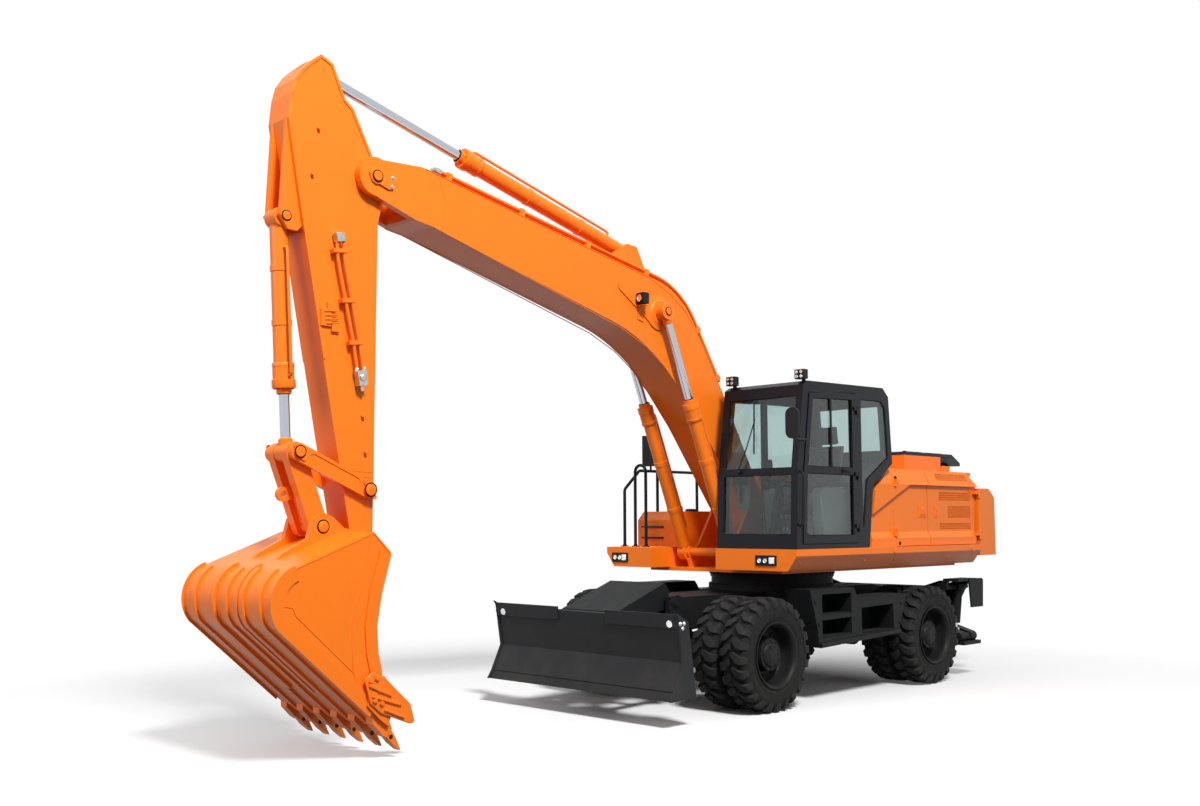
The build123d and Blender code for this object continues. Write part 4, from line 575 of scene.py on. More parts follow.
# %% [markdown]
# A bolt is a washer with a chamfered hexagon on it. A finished piece gets its material, smooth
# shading over gentle angles, and rounded edges from a bevel modifier where it is cut from thick
# plate, because no real plate has an edge like a knife.

# %% Bolts and finished pieces
def bolt(work, place, axis, size):
    """A bolt head on its washer. size is the head's radius."""
    at = stand(place, axis, size * 70)
    lathe(work, at, ((1.4 * size, -0.001), (1.4 * size, 0.2 * size), (0, 0.2 * size)), 20)
    lathe(work, at, ((size, 0.2 * size), (size, 0.8 * size), (0.84 * size, 0.95 * size),
                     (0, 0.95 * size)), 6)


def keep(name, work, body, finish, rounding=0.0, angle=35):
    """Turns drawn geometry into a piece that rides on a body."""
    bmesh.ops.recalc_face_normals(work, faces=work.faces)
    mesh = bpy.data.meshes.new(name)
    work.to_mesh(mesh)
    work.free()
    mesh.materials.append(finish)
    mesh.shade_smooth()
    mesh.set_sharp_from_angle(angle=math.radians(angle))
    piece = link(bpy.data.objects.new(name, mesh))
    if rounding:
        soft = piece.modifiers.new("rounding", "BEVEL")
        soft.width, soft.segments, soft.limit_method = rounding, 2, "ANGLE"
        soft.angle_limit = math.radians(38)
    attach(piece, body)
    print(name, len(mesh.polygons), "faces")
    return piece


def tube(name, runs, radius, body, finish, closed=False, kind="POLY"):
    """Bent tubes through points, all of one radius. runs is a list of point lists."""
    curve = bpy.data.curves.new(name, "CURVE")
    curve.dimensions, curve.bevel_depth, curve.bevel_resolution, curve.use_fill_caps = "3D", radius, 2, True
    curve.resolution_u = 6
    for points in runs:
        spline = curve.splines.new(kind)
        spline.points.add(len(points) - 1)
        for point, place in zip(spline.points, points):
            point.co = (*place, 1)
        spline.use_cyclic_u = closed
        if kind == "NURBS":
            spline.order_u, spline.use_endpoint_u = 3, True
    curve.materials.append(finish)
    piece = link(bpy.data.objects.new(name, curve))
    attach(piece, body)
    return piece


BOTH = (-1, 1)
WORK_Y = -0.160          # the working plane of boom, arm and bucket
print("tools ready")

# %% [markdown]
# ## Tyres
# A twin excavator tyre has deep blocks in two rows, staggered by half a pitch, with a zigzag
# groove between them, and the blocks run over the shoulder on to the sidewall. One block is drawn
# as a strip of stations from the middle of the tread outwards. It is then copied round the tyre.
# The many-sided packed tyre stays behind for contact, and this piece stands for it.

# %% Tyre mesh
TYRE_HALF = 0.1425
PITCHES = 24
CARCASS = ((0.296, -0.112), (0.303, -0.124), (0.340, -0.1345), (0.400, -0.1395), (0.445, -0.1375),
           (0.474, -0.1290), (0.490, -0.1160), (0.497, -0.0950), (0.501, 0.0))
# (y, offset and half width in pitches, outer radius, inner radius)
BLOCK = ((0.010, 0.26, 0.15, 0.5295, 0.494), (0.036, 0.17, 0.24, 0.5300, 0.494),
         (0.058, 0.02, 0.29, 0.5298, 0.493),
         (0.088, -0.08, 0.27, 0.5285, 0.491), (0.114, -0.12, 0.25, 0.5250, 0.486),
         (0.133, -0.12, 0.24, 0.5130, 0.474),
         (0.1410, -0.12, 0.22, 0.4880, 0.458), (0.1420, -0.12, 0.19, 0.4580, 0.440))


def tyre_block(work, side, turn, shift):
    """One tread block on one side of a tyre whose axis is Y through the origin."""
    rings = []
    for y, offset, half, outer, inner in BLOCK:
        middle = turn + offset * math.tau / PITCHES
        ring = []
        for share, radius in ((-1.15, inner), (-1.0, outer), (1.0, outer), (1.15, inner)):
            angle = middle + share * half * math.tau / PITCHES
            ring.append(work.verts.new((radius * math.cos(angle), shift + side * y,
                                        radius * math.sin(angle))))
        rings.append(ring)
    for near, far in zip(rings, rings[1:]):
        join_loops(work, near, far)
    work.faces.new(rings[0])
    work.faces.new(rings[-1][::-1])


def tyre(work, shift):
    """A whole tyre centred at y = shift."""
    at = stand((0, shift, 0), (0, 1, 0))
    other_half = tuple((radius, -height) for radius, height in CARCASS[-2::-1])
    lathe(work, at, ((0.290, -0.100),) + CARCASS + other_half + ((0.290, 0.100),), 96)
    for radius, height in ((0.352, 0.1372), (0.430, 0.1390)):
        for side in BOTH:
            lathe(work, at, ((radius - 0.006, side * (height - 0.003)),
                             (radius - 0.002, side * (height + 0.002)),
                             (radius + 0.002, side * (height + 0.002)),
                             (radius + 0.006, side * (height - 0.003))), 96)


AXLE_HEIGHT, TRACK_OUTER, TWIN_PITCH = 0.530, 1.249, 0.344
WHEELS = (("front_left", 1.578, 1), ("front_right", 1.578, -1), ("rear_left", -1.276, 1),
          ("rear_right", -1.276, -1))
for label, x, side in WHEELS:
    walls, blocks = bmesh.new(), bmesh.new()
    for shift in (TRACK_OUTER - TYRE_HALF, TRACK_OUTER - TYRE_HALF - TWIN_PITCH):
        tyre(walls, side * shift)
        for index in range(PITCHES):
            turn = math.tau * index / PITCHES
            tyre_block(blocks, 1, turn, side * shift)
            tyre_block(blocks, -1, turn + math.pi / PITCHES, side * shift)
    for work in (walls, blocks):
        bmesh.ops.translate(work, verts=work.verts, vec=(x, 0, AXLE_HEIGHT))
    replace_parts(keep("tyre_walls_" + label, walls, "wheel_" + label, RUBBER), "tyres_" + label)
    keep("tyre_blocks_" + label, blocks, "wheel_" + label, TREAD_RUBBER, angle=30)

# %% [markdown]
# ## Rims and hubs
# The outer rim is a deep dish: a rolled lip that holds the bead, a drum, a disc with ten nuts far
# inside, and a hub drum that comes back out nearly to the lip. All of it is turned work, so each
# wheel is one lathe profile for each rim, with the nuts and the cap's bolts added round it.

# %% Rims
# (radius, distance in from the outer face)
OUTER_RIM = ((0.286, 0.030), (0.300, 0.012), (0.311, 0.006), (0.311, 0.000), (0.303, -0.002),
             (0.292, 0.006), (0.280, 0.022),
             (0.274, 0.060), (0.274, 0.150), (0.262, 0.168), (0.165, 0.172), (0.165, 0.196), (0.262, 0.198),
             (0.286, 0.210), (0.298, 0.275), (0.298, 0.030), (0.286, 0.030))
INNER_RIM = ((0.298, 0.350), (0.300, 0.348), (0.282, 0.352), (0.276, 0.362), (0.165, 0.364),
             (0.165, 0.382), (0.268, 0.386),
             (0.274, 0.600), (0.290, 0.622), (0.308, 0.627), (0.308, 0.621), (0.298, 0.610), (0.298, 0.350))
HUB = ((0.0, 0.046), (0.050, 0.046), (0.055, 0.050), (0.098, 0.052), (0.112, 0.062), (0.118, 0.075),
       (0.146, 0.078),
       (0.150, 0.084), (0.150, 0.388), (0.0, 0.388))
for label, x, side in WHEELS:
    work = bmesh.new()
    at = stand((x, side * TRACK_OUTER, AXLE_HEIGHT), (0, -side, 0))
    for profile, sides in ((OUTER_RIM, 72), (INNER_RIM, 72), (HUB, 48)):
        lathe(work, at, profile, sides)
    for count, radius, depth, size in ((10, 0.205, 0.171, 0.017), (10, 0.132, 0.078, 0.009),
                                       (3, 0.075, 0.052, 0.009)):
        for dx, dz in circle(count, radius, 0.5):
            bolt(work, (x + dx, side * (TRACK_OUTER - depth), AXLE_HEIGHT + dz), (0, side, 0), size)
    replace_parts(keep("rim_" + label, work, "wheel_" + label, RIM_GREY), "rims_" + label)

# %% [markdown]
# ## Bucket
# What wears on a bucket is bolted or pinned on, so that it can be changed: side cutters with
# raised ribs beside their bolts, and a pin through each tooth. What doesn't wear is welded,
# and a weld shows as a thin raised bead. The beads are tubes half sunk in the steel.

# %% Side cutters
BUCKET_FACE = 0.660      # half the bucket's width
CUTTER = ((5.647, 0.618), (5.575, 0.666), (5.471, 0.620), (5.352, 0.508), (5.233, 0.400), (5.193, 0.266),
          (5.212, 0.250),
          (5.246, 0.253), (5.504, 0.356), (5.600, 0.439))
CUTTER_BOLTS = ((5.596, 0.600), (5.545, 0.618), (5.520, 0.530), (5.560, 0.455), (5.500, 0.430))
CUTTER_RIBS = (((5.618, 0.560), (5.420, 0.470), (5.410, 0.486), (5.606, 0.585)),
               ((5.590, 0.480), (5.330, 0.392), (5.322, 0.408), (5.580, 0.500)),
               ((5.480, 0.372), (5.300, 0.296), (5.292, 0.312), (5.470, 0.392)))
work = bmesh.new()
for side in BOTH:
    face = WORK_Y + side * (BUCKET_FACE + 0.0003)
    side_plate(work, CUTTER, side, 0.0305, 0.0465, face)
    for rib in CUTTER_RIBS:
        side_plate(work, rib, side, 0.040, 0.062, face)
keep("side_cutters", work, "bucket", ORANGE, 0.006)
work = bmesh.new()
for side in BOTH:
    for x, z in CUTTER_BOLTS:
        bolt(work, (x, WORK_Y + side * (BUCKET_FACE + 0.0466), z), (0, side, 0), 0.019)
keep("side_cutter_bolts", work, "bucket", ORANGE)

# %% [markdown]
# The lip's end is a thick bevelled plate, and each tooth is held by a pin that shows as a dark
# ring in the side of its nose. The teeth's places come from the bucket's width and their count.

# %% Tooth pins and lip
LIP, FLOOR_END = Vector((5.427, 0.222)), Vector((6.337, 1.020))
FLOOR_RUN = (FLOOR_END - LIP).normalized()
FLOOR_OUT = Vector((FLOOR_RUN.y, -FLOOR_RUN.x))


def on_floor(back, out):
    """An x, z place behind the cutting edge and outside the bucket's floor."""
    place = LIP + FLOOR_RUN * back + FLOOR_OUT * out
    return (place.x, place.y)


TOOTH_PLACES = [WORK_Y + (index - 2.5) * 0.2448 for index in range(6)]
work = bmesh.new()
for y in TOOTH_PLACES:
    x, z = on_floor(-0.078, 0.008)
    for side in BOTH:
        lathe(work, stand((x, y + side * 0.0395, z), (0, side, 0)),
              ((0.017, 0), (0.017, 0.004), (0.013, 0.006), (0.011, 0.003), (0, 0.003)), 20)
keep("tooth_pins", work, "bucket", CAST_GREY)


# %% [markdown]
# Weld beads follow the seams as tubes of a few millimetres.

# %% Weld beads on the bucket
def side_line(points, y):
    """Gives x, z points a common y."""
    return [(x, y, z) for x, z in points]


BUCKET_RIM = ((5.411, 1.540), (5.555, 1.690), (6.196, 1.448), (6.330, 1.345), (6.385, 1.200),
              (6.365, 1.080), (6.330, 1.022))
CHEEK_SEAM = ((5.577, 1.671), (5.666, 1.249), (5.741, 1.010), (5.721, 0.695), (5.652, 0.448))
EDGE_SEAM = ((6.379, 1.192), (6.234, 1.168), (6.206, 1.108), (5.706, 0.658))
runs = []
for side in BOTH:
    for seam in (BUCKET_RIM, CHEEK_SEAM, EDGE_SEAM):
        runs.append(side_line(seam, WORK_Y + side * (BUCKET_FACE + 0.0005)))
    for ear in (0.150, 0.198):
        runs.append(side_line(((5.400, 1.510), (5.556, 1.668), (6.150, 1.446)), WORK_Y + side * ear))
tube("bucket_welds", runs, 0.0045, "bucket", ORANGE)

# %% [markdown]
# ## Pins of the linkage
# A pin's end is a painted disc with a black seal ring round it. The pins near the working plane
# also have two round keepers across the disc, which stop them from turning.

# %% Pin ends
SEAL_BLACK = rubber("seal_rubber", (0.006, 0.006, 0.006, 1), (-2.0, -1.0, 0.0))
KEEPER_REACH = 0.25      # pins that end farther than this from the working plane have no keepers
LINK_PIN, GUIDE_PIN, BUCKET_PIN = (5.925, 2.310), (5.285, 2.030), (5.315, 1.600)
BUCKET_LINK_PIN, ARM_PIN, BUCKET_CYL_PIN = (5.705, 1.740), (5.275, 4.580), (6.030, 4.140)
# (name, body, pin, distance from the working plane, radius, bolts' tilt in degrees)
PIN_ENDS = (("link_pin", "guide_links", LINK_PIN, 0.212, 0.052, 55),
            ("guide_pin", "arm", GUIDE_PIN, 0.215, 0.060, 55),
            ("bucket_link_pin", "bucket", BUCKET_LINK_PIN, 0.198, 0.056, 15),
            ("bucket_pin", "arm", BUCKET_PIN, 0.215, 0.060, 30),
            ("arm_pin", "boom", ARM_PIN, 0.242, 0.052, 20),
            ("bucket_cylinder_pin", "arm", BUCKET_CYL_PIN, 0.121, 0.044, 20),
            ("boom_foot_pin", "upper", (0.315, 1.840), 0.271, 0.057, 30),
            ("boom_cylinder_eye", "boom_rods", (1.885, 3.860), 0.362, 0.046, 30))
for name, body, (x, z), reach, radius, tilt in PIN_ENDS:
    steel, seals = bmesh.new(), bmesh.new()
    for side in BOTH:
        at = stand((x, WORK_Y + side * reach, z), (0, side, 0))
        lathe(seals, at, ((radius * 0.98, 0.0), (radius * 0.98, 0.0042), (radius * 0.80, 0.0042),
                          (radius * 0.80, 0.0)), 40)
        lathe(steel, at, ((radius * 0.78, -0.001), (radius * 0.78, 0.008), (radius * 0.70, 0.011),
                          (radius * 0.10, 0.011),
                          (radius * 0.06, 0.008), (0, 0.008)), 40)
        if reach < KEEPER_REACH:
            for turn in (math.radians(tilt), math.radians(tilt + 180)):
                place = (x + 1.16 * radius * math.cos(turn), WORK_Y + side * (reach - 0.014),
                         z + 1.16 * radius * math.sin(turn))
                lathe(steel, stand(place, (0, side, 0)), ((0.019, 0), (0.019, 0.012), (0, 0.012)), 18)
    keep(name + "_ends", steel, body, ORANGE)
    keep(name + "_seals", seals, body, SEAL_BLACK)

# %% [markdown]
# ## Cylinders
# A cylinder's head is a thick ring screwed into its barrel, with a row of bolts in its face, a
# narrower gland nose and a black wiper seal where the chrome rod comes out. The same ring is made
# for every cylinder, from its base pin, its eye and the barrel's length.

# %% Cylinder heads
# (base pin, rod eye), and the planes in which a pair stands
ARM_CYLINDER, BUCKET_CYLINDER = ((2.155, 4.460), (5.735, 5.400)), (BUCKET_CYL_PIN, LINK_PIN)
BOOM_CYLINDER, BLADE_CYLINDER = ((0.885, 1.450), (1.885, 3.860)), ((2.105, 0.930), (2.700, 0.560))
BOOM_PAIR, BLADE_PAIR = (WORK_Y - 0.312, WORK_Y + 0.312), (-0.190, 0.190)
# (name, body, base pin, eye, places across, barrel length, barrel radius, rod radius)
CYLINDERS = (("arm_cylinder", "arm_barrel", *ARM_CYLINDER, (WORK_Y,), 2.140, 0.075, 0.045),
             ("bucket_cylinder", "bucket_barrel", *BUCKET_CYLINDER, (WORK_Y,), 1.330, 0.072, 0.040),
             ("boom_cylinder", "boom_barrels", *BOOM_CYLINDER, BOOM_PAIR, 1.640, 0.068, 0.042),
             ("blade_cylinder", "blade_barrels", *BLADE_CYLINDER, BLADE_PAIR, 0.480, 0.055, 0.030))
for name, body, base, eye, places, length, radius, rod_radius in CYLINDERS:
    paint = GREY if name == "blade_cylinder" else ORANGE
    proud = 0.004 if name == "boom_cylinder" else 0.009
    heads, seals = bmesh.new(), bmesh.new()
    for y in places:
        start = Vector((base[0], y, base[1]))
        run = Vector((eye[0] - base[0], 0, eye[1] - base[1])).normalized()
        tip = start + run * length
        big = radius * 1.15
        at = stand(tip, run)
        lathe(heads, at, ((big, -2.7 * radius), (big + 0.003, -2.62 * radius),
                          (big + 0.003, -2.3 * radius), (big, -2.25 * radius)), 40)
        lathe(heads, at, ((big, -0.9 * radius), (big + proud, -0.84 * radius),
                          (big + proud, -0.06 * radius),
                          (big + proud - 0.003, 0.004), (rod_radius + 0.020, 0.004),
                          (rod_radius + 0.018, 0.045),
                          (rod_radius + 0.003, 0.047), (rod_radius + 0.003, 0.0)), 40)
        lathe(seals, at, ((rod_radius + 0.010, 0.045), (rod_radius + 0.008, 0.052),
                          (rod_radius + 0.0012, 0.052),
                          (rod_radius + 0.0012, 0.030)), 32)
        for index in range(8):
            turn = Matrix.Rotation(math.tau * index / 8, 4, "Z")
            place = at @ turn @ Vector(((big + rod_radius + 0.022) / 2, 0, 0.003))
            bolt(heads, place, run, 0.009)
        for share in (0.30, 0.62):
            belt = stand(start + run * length * share, run)
            lathe(heads, belt, ((radius, -0.024), (radius + 0.006, -0.022), (radius + 0.006, 0.022),
                                (radius, 0.024)), 40)
    keep(name + "_heads", heads, body, paint)
    keep(name + "_seals", seals, body, SEAL_BLACK)

# %% [markdown]
# Only a rod's polished length is chrome. Its eye is forged and painted, so a thin painted sleeve
# goes over each eye and over the neck behind it.

# %% Rod eyes
# (name, body, base pin, eye, places across, eye radius, rod radius, half width)
ROD_EYES = (("arm_rod_eye", "arm_rod", *ARM_CYLINDER, (WORK_Y,), 0.080, 0.045, 0.055),
            ("bucket_rod_eye", "bucket_rod", *BUCKET_CYLINDER, (WORK_Y,), 0.075, 0.040, 0.055),
            ("boom_rod_eyes", "boom_rods", *BOOM_CYLINDER, BOOM_PAIR, 0.082, 0.042, 0.050),
            ("blade_rod_eyes", "blade_rods", *BLADE_CYLINDER, BLADE_PAIR, 0.050, 0.030, 0.040))
for name, body, base, eye, places, eye_radius, rod_radius, half in ROD_EYES:
    work = bmesh.new()
    for y in places:
        start, end = Vector((base[0], y, base[1])), Vector((eye[0], y, eye[1]))
        back = (start - end).normalized()
        reach = eye_radius + 0.0015
        lathe(work, stand((eye[0], y - half - 0.0008, eye[1]), (0, 1, 0)),
              ((0, 0), (reach - 0.004, 0), (reach, 0.004), (reach, 2 * half - 0.0024),
               (reach - 0.004, 2 * half + 0.0016),
               (0, 2 * half + 0.0016)), 40)
        neck = min(rod_radius * 1.35, half - 0.001) + 0.0015
        lathe(work, stand(end, back), ((neck, 0), (neck, eye_radius * 1.35 + 0.001),
                                       (rod_radius + 0.002, eye_radius * 1.35 + 0.014),
                                       (rod_radius + 0.0005, eye_radius * 1.35 + 0.014)), 32)
    keep(name, work, body, GREY if body == "blade_rods" else ORANGE)

# %% [markdown]
# An oil pipe runs along each long cylinder. It is a bent tube of an even radius that stays on
# the barrel, a few centimetres off its wall.

# %% Cylinder pipes
PIPE_CLEAR = 0.045       # from the barrel's wall to the pipe's middle


def pipe_beside(base, eye, y, wall, start, end, leftward=False):
    """A pipe's points beside a cylinder: out from the wall, along it, and in again."""
    run = Vector((eye[0] - base[0], 0, eye[1] - base[1])).normalized()
    side = Vector((0, 1, 0)) if leftward else Vector((-run.z, 0, run.x))
    origin = Vector((base[0], y, base[1]))
    clear = wall + PIPE_CLEAR
    return [origin + run * at + side * reach for at, reach in
            ((start, wall), (start, clear - 0.01), (start + 0.03, clear), (end - 0.03, clear),
             (end, clear - 0.01), (end, wall))]


tube("arm_cylinder_pipe", [pipe_beside(*ARM_CYLINDER, WORK_Y, 0.074, 0.26, 2.03)], 0.013,
     "arm_barrel", ORANGE)
tube("boom_cylinder_pipes", [pipe_beside(*BOOM_CYLINDER, y, 0.067, 0.24, 1.54) for y in BOOM_PAIR], 0.013,
     "boom_barrels", ORANGE)
tube("bucket_cylinder_pipe", [pipe_beside(*BUCKET_CYLINDER, WORK_Y, 0.071, 0.24, 1.24, True)], 0.012,
     "bucket_barrel", ORANGE)

# %% [markdown]
# ## Arm
# The left face of the arm carries the plumbing of the bucket's extra circuit: two steel pipes in
# clamps that end in a bright valve block, a block with four grease lines, and a few brackets.

# %% Arm pipes and blocks
ARM_FACE = WORK_Y + 0.145
ARM_PIPES = (((5.560, 4.010), (5.548, 3.860), (5.400, 3.220), (5.352, 2.960)),
             ((5.618, 4.000), (5.606, 3.850), (5.452, 3.200), (5.406, 2.950)))
tube("arm_pipes", [side_line(points, ARM_FACE + 0.045) for points in ARM_PIPES], 0.014, "arm", ORANGE)
work = bmesh.new()
for x, z in ((5.585, 3.930), (5.500, 3.540), (5.424, 3.210)):
    plate(work, ((x - 0.062, z - 0.020), (x + 0.066, z - 0.036), (x + 0.072, z - 0.004),
                 (x - 0.056, z + 0.014)),
          ARM_FACE + 0.001, ARM_FACE + 0.064)
for x, z in ((5.640, 3.470), (5.600, 3.300)):
    brick(work, (x - 0.035, ARM_FACE + 0.001, z - 0.030), (x + 0.035, ARM_FACE + 0.024, z + 0.030))
for x, z in ((5.300, 2.330), (5.330, 2.620), (5.830, 4.500), (5.780, 4.880)):
    rod(work, (x, ARM_FACE + 0.001, z), (x, ARM_FACE + 0.030, z), 0.014)
keep("arm_brackets", work, "arm", ORANGE, 0.003)
work = bmesh.new()
plate(work, ((5.345, 2.985), (5.425, 2.970), (5.405, 2.850), (5.325, 2.865)), ARM_FACE + 0.012,
      ARM_FACE + 0.078)
plate(work, ((5.570, 4.070), (5.640, 4.055), (5.625, 3.985), (5.555, 4.000)), ARM_FACE + 0.012,
      ARM_FACE + 0.074)
lathe(work, stand((5.378, ARM_FACE + 0.077, 2.922), (0, 1, 0)),
      ((0.027, 0), (0.027, 0.014), (0.018, 0.020), (0, 0.020)), 24)
for x, z in ((5.350, 2.992), (5.418, 2.979)):
    rod(work, (x, ARM_FACE + 0.045, z - 0.02), (x - 0.004, ARM_FACE + 0.045, z + 0.020), 0.021, 6)
rod(work, (5.366, ARM_FACE + 0.045, 2.858), (5.358, ARM_FACE + 0.045, 2.815), 0.017, 12)
keep("arm_valve_blocks", work, "arm", ZINC, 0.003)
work = bmesh.new()
for index in range(4):
    x, z = 5.690 + 0.006 * index, 3.330 + 0.032 * index
    rod(work, (x, ARM_FACE + 0.022, z), (x - 0.120, ARM_FACE + 0.022, z + 0.014), 0.008, 10)
brick(work, (5.640, ARM_FACE + 0.001, 3.310), (5.735, ARM_FACE + 0.020, 3.450))
keep("arm_grease_block", work, "arm", ORANGE, 0.002)

# %% [markdown]
# The arm and the boom are boxes welded from plate. A seam runs along each long edge, and where a
# casting or doubler is let in, a second seam crosses the side. They are drawn as beads.

# %% Seams of arm and boom
ARM_EDGE_REAR = ((5.222, 1.700), (5.212, 4.200), (5.152, 4.450))
BOOM_EDGE_LOW = ((0.430, 1.735), (1.232, 2.758), (1.560, 3.110), (1.800, 3.330), (2.060, 3.500),
                 (2.420, 3.650), (4.705, 4.262), (4.876, 4.288))
BOOM_EDGE_HIGH = ((0.180, 1.923), (0.875, 3.100), (1.220, 3.640), (1.450, 3.915), (1.700, 4.075),
                  (2.000, 4.200), (4.780, 4.742))
ARM_CROWN = ((5.697, 3.050), (5.931, 4.258), (6.048, 4.910), (6.027, 5.110), (5.997, 5.229), (5.935, 5.328),
             (5.858, 5.408), (5.765, 5.490), (5.655, 5.440), (5.537, 5.180), (5.460, 5.120), (5.264, 4.750))


def both_faces(half, *seams):
    """Lays x, z seams on both faces of a box, each half its width from the working plane."""
    return [side_line(points, WORK_Y + side * half) for points in seams for side in BOTH]


def edge_band(work, points, width, y0, y1):
    """A flat bar that follows x, z points, lying on their left-hand side."""
    places = [Vector(point) for point in points]
    inner = []
    for i, place in enumerate(places):
        before = (place - places[i - 1]).normalized() if i else (places[1] - place).normalized()
        after = (places[i + 1] - place).normalized() if i + 1 < len(places) else before
        aside = Vector((-(before + after).y, (before + after).x)).normalized()
        inner.append(place + aside * (width / max(0.6, aside.dot(Vector((-after.y, after.x))))))
    for i in range(len(places) - 1):
        plate(work, [tuple(p) for p in (places[i], places[i + 1], inner[i + 1], inner[i])], y0, y1)


work = bmesh.new()
for side in BOTH:
    edge_band(work, ARM_CROWN, 0.022, *sorted((WORK_Y + side * 0.144, WORK_Y + side * 0.153)))
bmesh.ops.remove_doubles(work, verts=work.verts, dist=0.0001)
keep("arm_edge_bars", work, "arm", ORANGE)
tube("arm_welds", both_faces(0.1455, ARM_EDGE_REAR, ((5.225, 2.170), (5.510, 2.190)),
                             ((5.225, 2.130), (5.500, 2.148))), 0.004, "arm", ORANGE)
tube("boom_welds", both_faces(0.2225, BOOM_EDGE_LOW, BOOM_EDGE_HIGH,
                              ((4.640, 4.250), (4.560, 4.480), (4.640, 4.700)),
                              ((0.620, 2.700), (0.900, 2.360))), 0.0045, "boom", ORANGE)

# %% [markdown]
# ## Boom lamp and its cover
# The working lamp is a square finned housing on a bracket near the boom cylinders' eyes, with a
# clear lens and a dark bezel. The lens is glass over a bright dish, which is what makes a lamp
# look like a lamp when it is off. The bosses round those eyes and the arm pin's keeper plates
# are made with the lamp's bracket.

# %% Lamps
LAMP_DISH = bare_metal("lamp_dish", (0.86, 0.87, 0.88, 1), 0.15, (1, 1, 1))


def lamp_faces(name, body, places, axis, radius):
    """Round lamp faces: a black bezel, a bright dish with a bulb, and a domed glass."""
    bezels, dishes, glasses = bmesh.new(), bmesh.new(), bmesh.new()
    for place in places:
        at = stand(place, axis)
        lathe(bezels, at, ((radius * 1.12, -0.002), (radius * 1.12, radius * 0.22), (radius, radius * 0.28),
                           (radius * 0.92, radius * 0.2), (radius * 0.9, 0.0)), 32)
        lathe(dishes, at, ((radius * 0.9, radius * 0.12), (radius * 0.5, radius * 0.03),
                           (radius * 0.16, 0.004),
                           (radius * 0.15, radius * 0.12), (0, radius * 0.14)), 32)
        lathe(glasses, at, ((radius * 0.93, radius * 0.17), (radius * 0.7, radius * 0.23),
                            (radius * 0.35, radius * 0.27),
                            (0, radius * 0.28)), 32)
    keep(name + "_bezels", bezels, body, BLACK_PLASTIC)
    keep(name + "_dishes", dishes, body, LAMP_DISH)
    keep(name + "_glasses", glasses, body, LENS)


BOOM_FACE = WORK_Y + 0.222
work = bmesh.new()
brick(work, (2.150, BOOM_FACE + 0.020, 3.905), (2.225, BOOM_FACE + 0.124, 4.015))
for index in range(5):
    brick(work, (2.134, BOOM_FACE + 0.026, 3.915 + index * 0.020),
          (2.152, BOOM_FACE + 0.118, 3.923 + index * 0.020))
keep("boom_lamp", work, "boom", BLACK_PLASTIC, 0.010)
lamp_faces("boom_lamp", "boom", [(2.225, BOOM_FACE + 0.072, 3.960)], (1, 0, 0), 0.040)
work = bmesh.new()
plate(work, ((2.100, 3.740), (2.190, 3.760), (2.180, 3.896), (2.130, 3.890)), BOOM_FACE + 0.001,
      BOOM_FACE + 0.009)
brick(work, (2.145, BOOM_FACE + 0.001, 3.886), (2.215, BOOM_FACE + 0.110, 3.894))
rod(work, (2.185, BOOM_FACE + 0.072, 3.893), (2.185, BOOM_FACE + 0.072, 3.907), 0.014)
# flared bosses round the boom cylinders' eyes
for side in BOTH:
    lathe(work, stand((1.885, WORK_Y, 3.860), (0, side, 0)),
          ((0.178, 0.233), (0.176, 0.2365), (0.150, 0.240), (0.132, 0.248), (0.1195, 0.2585),
           (0.1175, 0.2585)), 48)
# the arm pin's keeper plates, each a round end with a tail that is bolted to the boom
for side in BOTH:
    arc = [(ARM_PIN[0] + 0.066 * math.cos(turn), ARM_PIN[1] + 0.066 * math.sin(turn))
           for turn in (math.radians(-110 + 20 * i) for i in range(12))]
    tail = [(5.150, 4.628), (5.098, 4.606), (5.112, 4.500), (5.160, 4.488)]
    side_plate(work, arc + tail, side, 0.2215, 0.2385, WORK_Y)
keep("boom_brackets", work, "boom", ORANGE, 0.002)
work = bmesh.new()
for side in BOTH:
    for x, z in ((5.124, 4.590), (5.132, 4.516)):
        bolt(work, (x, WORK_Y + side * 0.2385, z), (0, side, 0), 0.013)
keep("arm_pin_bolts", work, "boom", ZINC)

# %% [markdown]
# The twin oil pipes along the boom have a bolt in the middle of each clamp, and unions where they
# end. The clamps are packed steel, so only the bolts and the unions' hexagons are added.

# %% Pipe clamps' bolts and unions
BOOM_LINES = (((0.875, 3.100), (1.534, 4.121)), ((1.534, 4.121), (4.816, 4.750)))


def beside_boom(line, run, clear):
    """A place run along a pipe line and clear of it, with the line's direction and outward."""
    start, end = (Vector((x, 0, z)) for x, z in BOOM_LINES[line])
    ahead = (end - start).normalized()
    out = Vector((-ahead.z, 0, ahead.x))
    return start + ahead * run + out * clear, ahead, out


work = bmesh.new()
for line, run in ((0, 0.190), (0, 0.760), (1, 0.520), (1, 1.350), (1, 2.200), (1, 3.050)):
    middle, ahead, out = beside_boom(line, run, 0.066)
    bolt(work, (middle.x, WORK_Y + 0.180, middle.z), out, 0.011)
for y in (WORK_Y + 0.160, WORK_Y + 0.200):
    tip, ahead, out = beside_boom(1, 3.150, 0.045)
    tip += Vector((0, y, 0))
    rod(work, tip - ahead * 0.02, tip + ahead * 0.035, 0.022, 6)
    rod(work, tip + ahead * 0.030, tip + ahead * 0.062, 0.017, 16)
keep("boom_pipe_unions", work, "boom", ZINC)

# %% [markdown]
# ## Cab
# The cab is a blue-black frame with tinted panes set in rubber. The rubber shows as a thin black
# line round each pane, so a tube follows every opening. The windscreen is in two parts, and a
# wiper lies across its upper pane.

# %% Window rubbers
def windscreen_x(z):
    """How far forward the cab's front face stands at a height."""
    return 1.222 - (z - 1.501) * 0.0416 if z < 2.270 else 1.190 - (z - 2.270) * 0.1429


